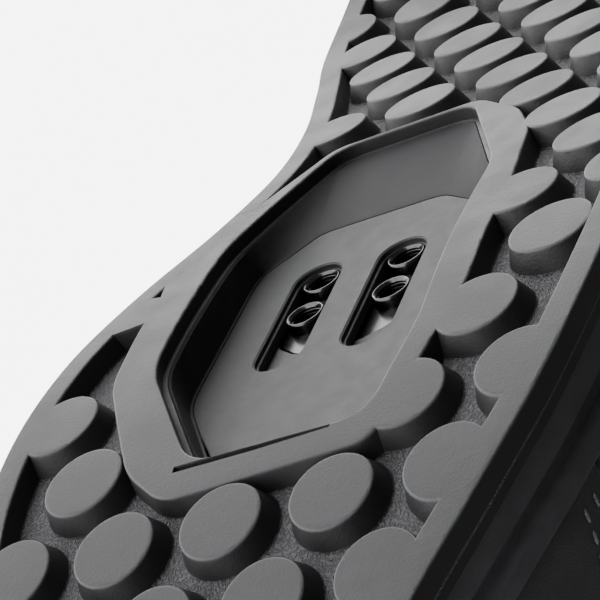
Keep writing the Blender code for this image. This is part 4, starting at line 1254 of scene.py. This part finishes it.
def makeRubber():
    material, tree, shader = nodesOf("outsole rubber")
    place = tree.nodes.new("ShaderNodeTexCoord").outputs["Object"]
    grain = useGroup(tree, grainGroup, place, rubber["grainScale"])
    tall = tree.nodes.new("ShaderNodeAttribute")
    tall.attribute_name = "treadHeight"
    level = tall.outputs["Fac"]
    base = math2(tree, "MULTIPLY", spread(tree, level, 0.10, 0.0), spread(tree, level, -0.06, 0.0))
    rim = math2(tree, "MULTIPLY", spread(tree, level, 0.90, 0.965), spread(tree, level, 1.0, 0.985))
    cloudy = spread(tree, grain.outputs["Mottle"], 0.35, 0.68)
    colour = blendColours(tree, cloudy, rubber["dark"], rubber["light"])
    # Painted highlight: the soft top edges of lugs and bands are lightened toward pale grey in place of the shine they
    # catch.
    edgeHighlight = math2(tree, "MULTIPLY", rim, 0.35)
    colour = blendColours(tree, edgeHighlight, colour, rubber["paintedEdgeHighlight"])
    # Painted shade: below the top edge, the walls of lugs and bands take the darker side tone, unlike the tops of the
    # same rubber.
    colour = blendColours(tree, spread(tree, level, 0.93, 0.80), colour, rubber["side"])
    # Painted light: the base between the lugs is lightened toward grey, following the grain, in place of the light it
    # catches.
    paintedBaseLight = math2(tree, "MULTIPLY", base, math2(tree, "MULTIPLY_ADD", grain.outputs["Height"], 0.6, 0.4))
    colour = blendColours(tree, paintedBaseLight, colour, rubber["paintedBaseLight"])
    tree.links.new(colour, shader.inputs["Base Color"])
    amount = math2(tree, "MULTIPLY_ADD", base, 0.97, 0.08)
    height = math2(tree, "MULTIPLY", grain.outputs["Height"], amount)
    addBump(tree, shader, height, 0.75, 0.00035)
    rough = math2(tree, "MULTIPLY_ADD", cloudy, 0.10, rubber["roughness"])
    tree.links.new(math2(tree, "MULTIPLY_ADD", base, 0.14, rough), shader.inputs["Roughness"])
    shader.inputs["Specular IOR Level"].default_value = rubber["shine"]
    return material


def makePlain(name, dark, light, roughness, scale, strength, distance=0.0002, shine=0.3):
    # Moulded plastic or foam: two tones in soft clouds and a fine grain
    material, tree, shader = nodesOf(name)
    place = tree.nodes.new("ShaderNodeTexCoord").outputs["Object"]
    grain = useGroup(tree, grainGroup, place, scale)
    cloudy = spread(tree, grain.outputs["Mottle"], 0.35, 0.68)
    tree.links.new(blendColours(tree, cloudy, dark, light), shader.inputs["Base Color"])
    tree.links.new(math2(tree, "MULTIPLY_ADD", cloudy, 0.08, roughness), shader.inputs["Roughness"])
    addBump(tree, shader, grain.outputs["Height"], strength, distance)
    shader.inputs["Specular IOR Level"].default_value = shine
    return material


def makeSteel():
    material, tree, shader = nodesOf("zinc steel")
    place = tree.nodes.new("ShaderNodeTexCoord").outputs["Object"]
    smear = noise(tree, place, 2200.0, 3.0)
    tree.links.new(blendColours(tree, smear, (0.02, 0.02, 0.021), (0.06, 0.06, 0.062)), shader.inputs["Base Color"])
    shader.inputs["Metallic"].default_value = 1.0
    tree.links.new(math2(tree, "MULTIPLY_ADD", smear, 0.12, 0.16), shader.inputs["Roughness"])
    return material


def makeFabric(name, dark, light, scale, depth):
    # Open mesh of the upper: painted shade darkens its holes to near black, with a soft sheen
    material, tree, shader = nodesOf(name)
    place = tree.nodes.new("ShaderNodeUVMap")
    place.uv_map = "shoe"
    weave = useGroup(tree, weaveGroup, place.outputs[0], scale)
    solid = tree.nodes.new("ShaderNodeTexCoord").outputs["Object"]
    cloudy = noise(tree, solid, 60.0, 4.0)
    colour = blendColours(tree, cloudy, dark, light)
    # Painted shade: the holes of the mesh are darkened to near black.
    colour = blendColours(tree, math2(tree, "MULTIPLY", weave.outputs["Holes"], 0.8), colour, (0.003, 0.003, 0.003))
    tree.links.new(colour, shader.inputs["Base Color"])
    fibre = noise(tree, solid, 5200.0, 2.0)
    height = math2(tree, "MULTIPLY_ADD", fibre, 0.25, math2(tree, "MULTIPLY", weave.outputs["Height"], -0.9))
    addBump(tree, shader, height, 0.8, depth)
    tree.links.new(math2(tree, "MULTIPLY_ADD", cloudy, 0.15, 0.72), shader.inputs["Roughness"])
    shader.inputs["Sheen Weight"].default_value = 0.15
    return material


def makeCloth(name, dark, light, scale, strength):
    # Brushed lining, lace or thread: fine crossed fibres
    material, tree, shader = nodesOf(name)
    place = tree.nodes.new("ShaderNodeTexCoord").outputs["Object"]
    fibre = noise(tree, place, scale, 3.0, 0.6)
    tree.links.new(blendColours(tree, fibre, dark, light), shader.inputs["Base Color"])
    tree.links.new(math2(tree, "MULTIPLY_ADD", fibre, 0.2, 0.7), shader.inputs["Roughness"])
    addBump(tree, shader, fibre, strength, 0.0003)
    shader.inputs["Sheen Weight"].default_value = 0.25
    return material


rubberMaterial = makeRubber()
meshMaterial = makeFabric("upper open mesh", (0.016, 0.016, 0.018), (0.024, 0.024, 0.027), 620.0, 0.0005)
leatherMaterial = makePlain("overlay synthetic leather", (0.014, 0.014, 0.0155), (0.022, 0.022, 0.024), 0.42,
                            1900.0, 0.3)
liningMaterial = makeCloth("brushed lining", (0.018, 0.018, 0.02), (0.035, 0.035, 0.038), 2600.0, 0.5)
laceMaterial = makeCloth("lace weave", (0.012, 0.012, 0.013), (0.03, 0.03, 0.032), 3600.0, 0.8)
threadMaterial = makeCloth("thread", (0.03, 0.03, 0.032), (0.06, 0.06, 0.065), 4200.0, 0.5)
eyeletMaterial = makePlain("black eyelet", (0.012, 0.012, 0.013), (0.02, 0.02, 0.021), 0.28, 2500.0, 0.05)
foamMaterial = makePlain("midsole foam", (0.020, 0.020, 0.022), (0.030, 0.030, 0.033), 0.62, 2600.0, 0.25)
wallMaterial = makePlain("pocket wall rubber", (0.010, 0.010, 0.011), (0.015, 0.015, 0.016), 0.62, 2600.0, 0.12,
                         shine=0.08)
floorMaterial = makePlain("pocket nylon", (0.0075, 0.0077, 0.0083), (0.0130, 0.0133, 0.0142), 0.55, 4200.0, 0.16,
                          shine=0.2)
steelMaterial = makeSteel()

dress(outsole, "outsole", "outsole_rubber", rubberMaterial)
dress(midsole, "midsole", "midsole_foam", foamMaterial)
dress(pocketWall, "midsole", "midsole_foam", wallMaterial)
dress(cleatFloor, "cleat_floor", "floor_nylon", floorMaterial)
dress(nutPlate, "nut_plate", "nut_steel", steelMaterial)
dress(upper, "upper", "upper_fabric", meshMaterial, liningMaterial)
for node, piece in overlayPieces:
    dress(piece, node, "overlay_leather", leatherMaterial)
dress(tongue, "tongue", "upper_fabric", liningMaterial)
dress(insole, "insole", "lining_fabric", liningMaterial)
dress(collarPad, None, "lining_fabric", liningMaterial)
dress(eyelets, None, "overlay_leather", eyeletMaterial)
dress(lace, "lace", "lace_fabric", laceMaterial)
dress(stitches, None, "lace_fabric", threadMaterial)
print("materials set")


# Stage and light
stage = {
    "floor": (0.9, 0.9, 0.905), "glow": 6.5, "world": 0.28,
    # name, place, width and height in metres, watts
    "lamps": (("low strip box", (-0.76, -0.98, 0.13), 1.1, 0.24, 6.0),
              ("overhead fill", (0.2, 0.5, 1.3), 0.9, 0.9, 0.6)),
}


def makeStage():
    bpy.ops.mesh.primitive_plane_add(size=8, location=(0, 0, -0.0002))
    floor = bpy.context.object
    floor.name = "floor"
    material = bpy.data.materials.new("floor")
    material.use_nodes = True
    shader = material.node_tree.nodes["Principled BSDF"]
    shader.inputs["Base Color"].default_value = (*stage["floor"], 1)
    shader.inputs["Roughness"].default_value = 0.9
    shader.inputs["Emission Color"].default_value = (1, 1, 1, 1)
    shader.inputs["Emission Strength"].default_value = stage["glow"]
    floor.data.materials.append(material)
    world = bpy.data.worlds.new("studio")
    world.use_nodes = True
    world.node_tree.nodes["Background"].inputs[0].default_value = (1, 1, 1, 1)
    world.node_tree.nodes["Background"].inputs[1].default_value = stage["world"]
    bpy.context.scene.world = world
    for name, place, width, height, power in stage["lamps"]:
        data = bpy.data.lights.new(name, "AREA")
        data.shape = "RECTANGLE"
        data.size, data.size_y = width, height
        data.energy = power
        lamp = bpy.data.objects.new(name, data)
        lamp.location = place
        lamp.rotation_euler = (-Vector(place)).to_track_quat("-Z", "Y").to_euler()
        bpy.context.scene.collection.objects.link(lamp)


makeStage()
print("stage set")
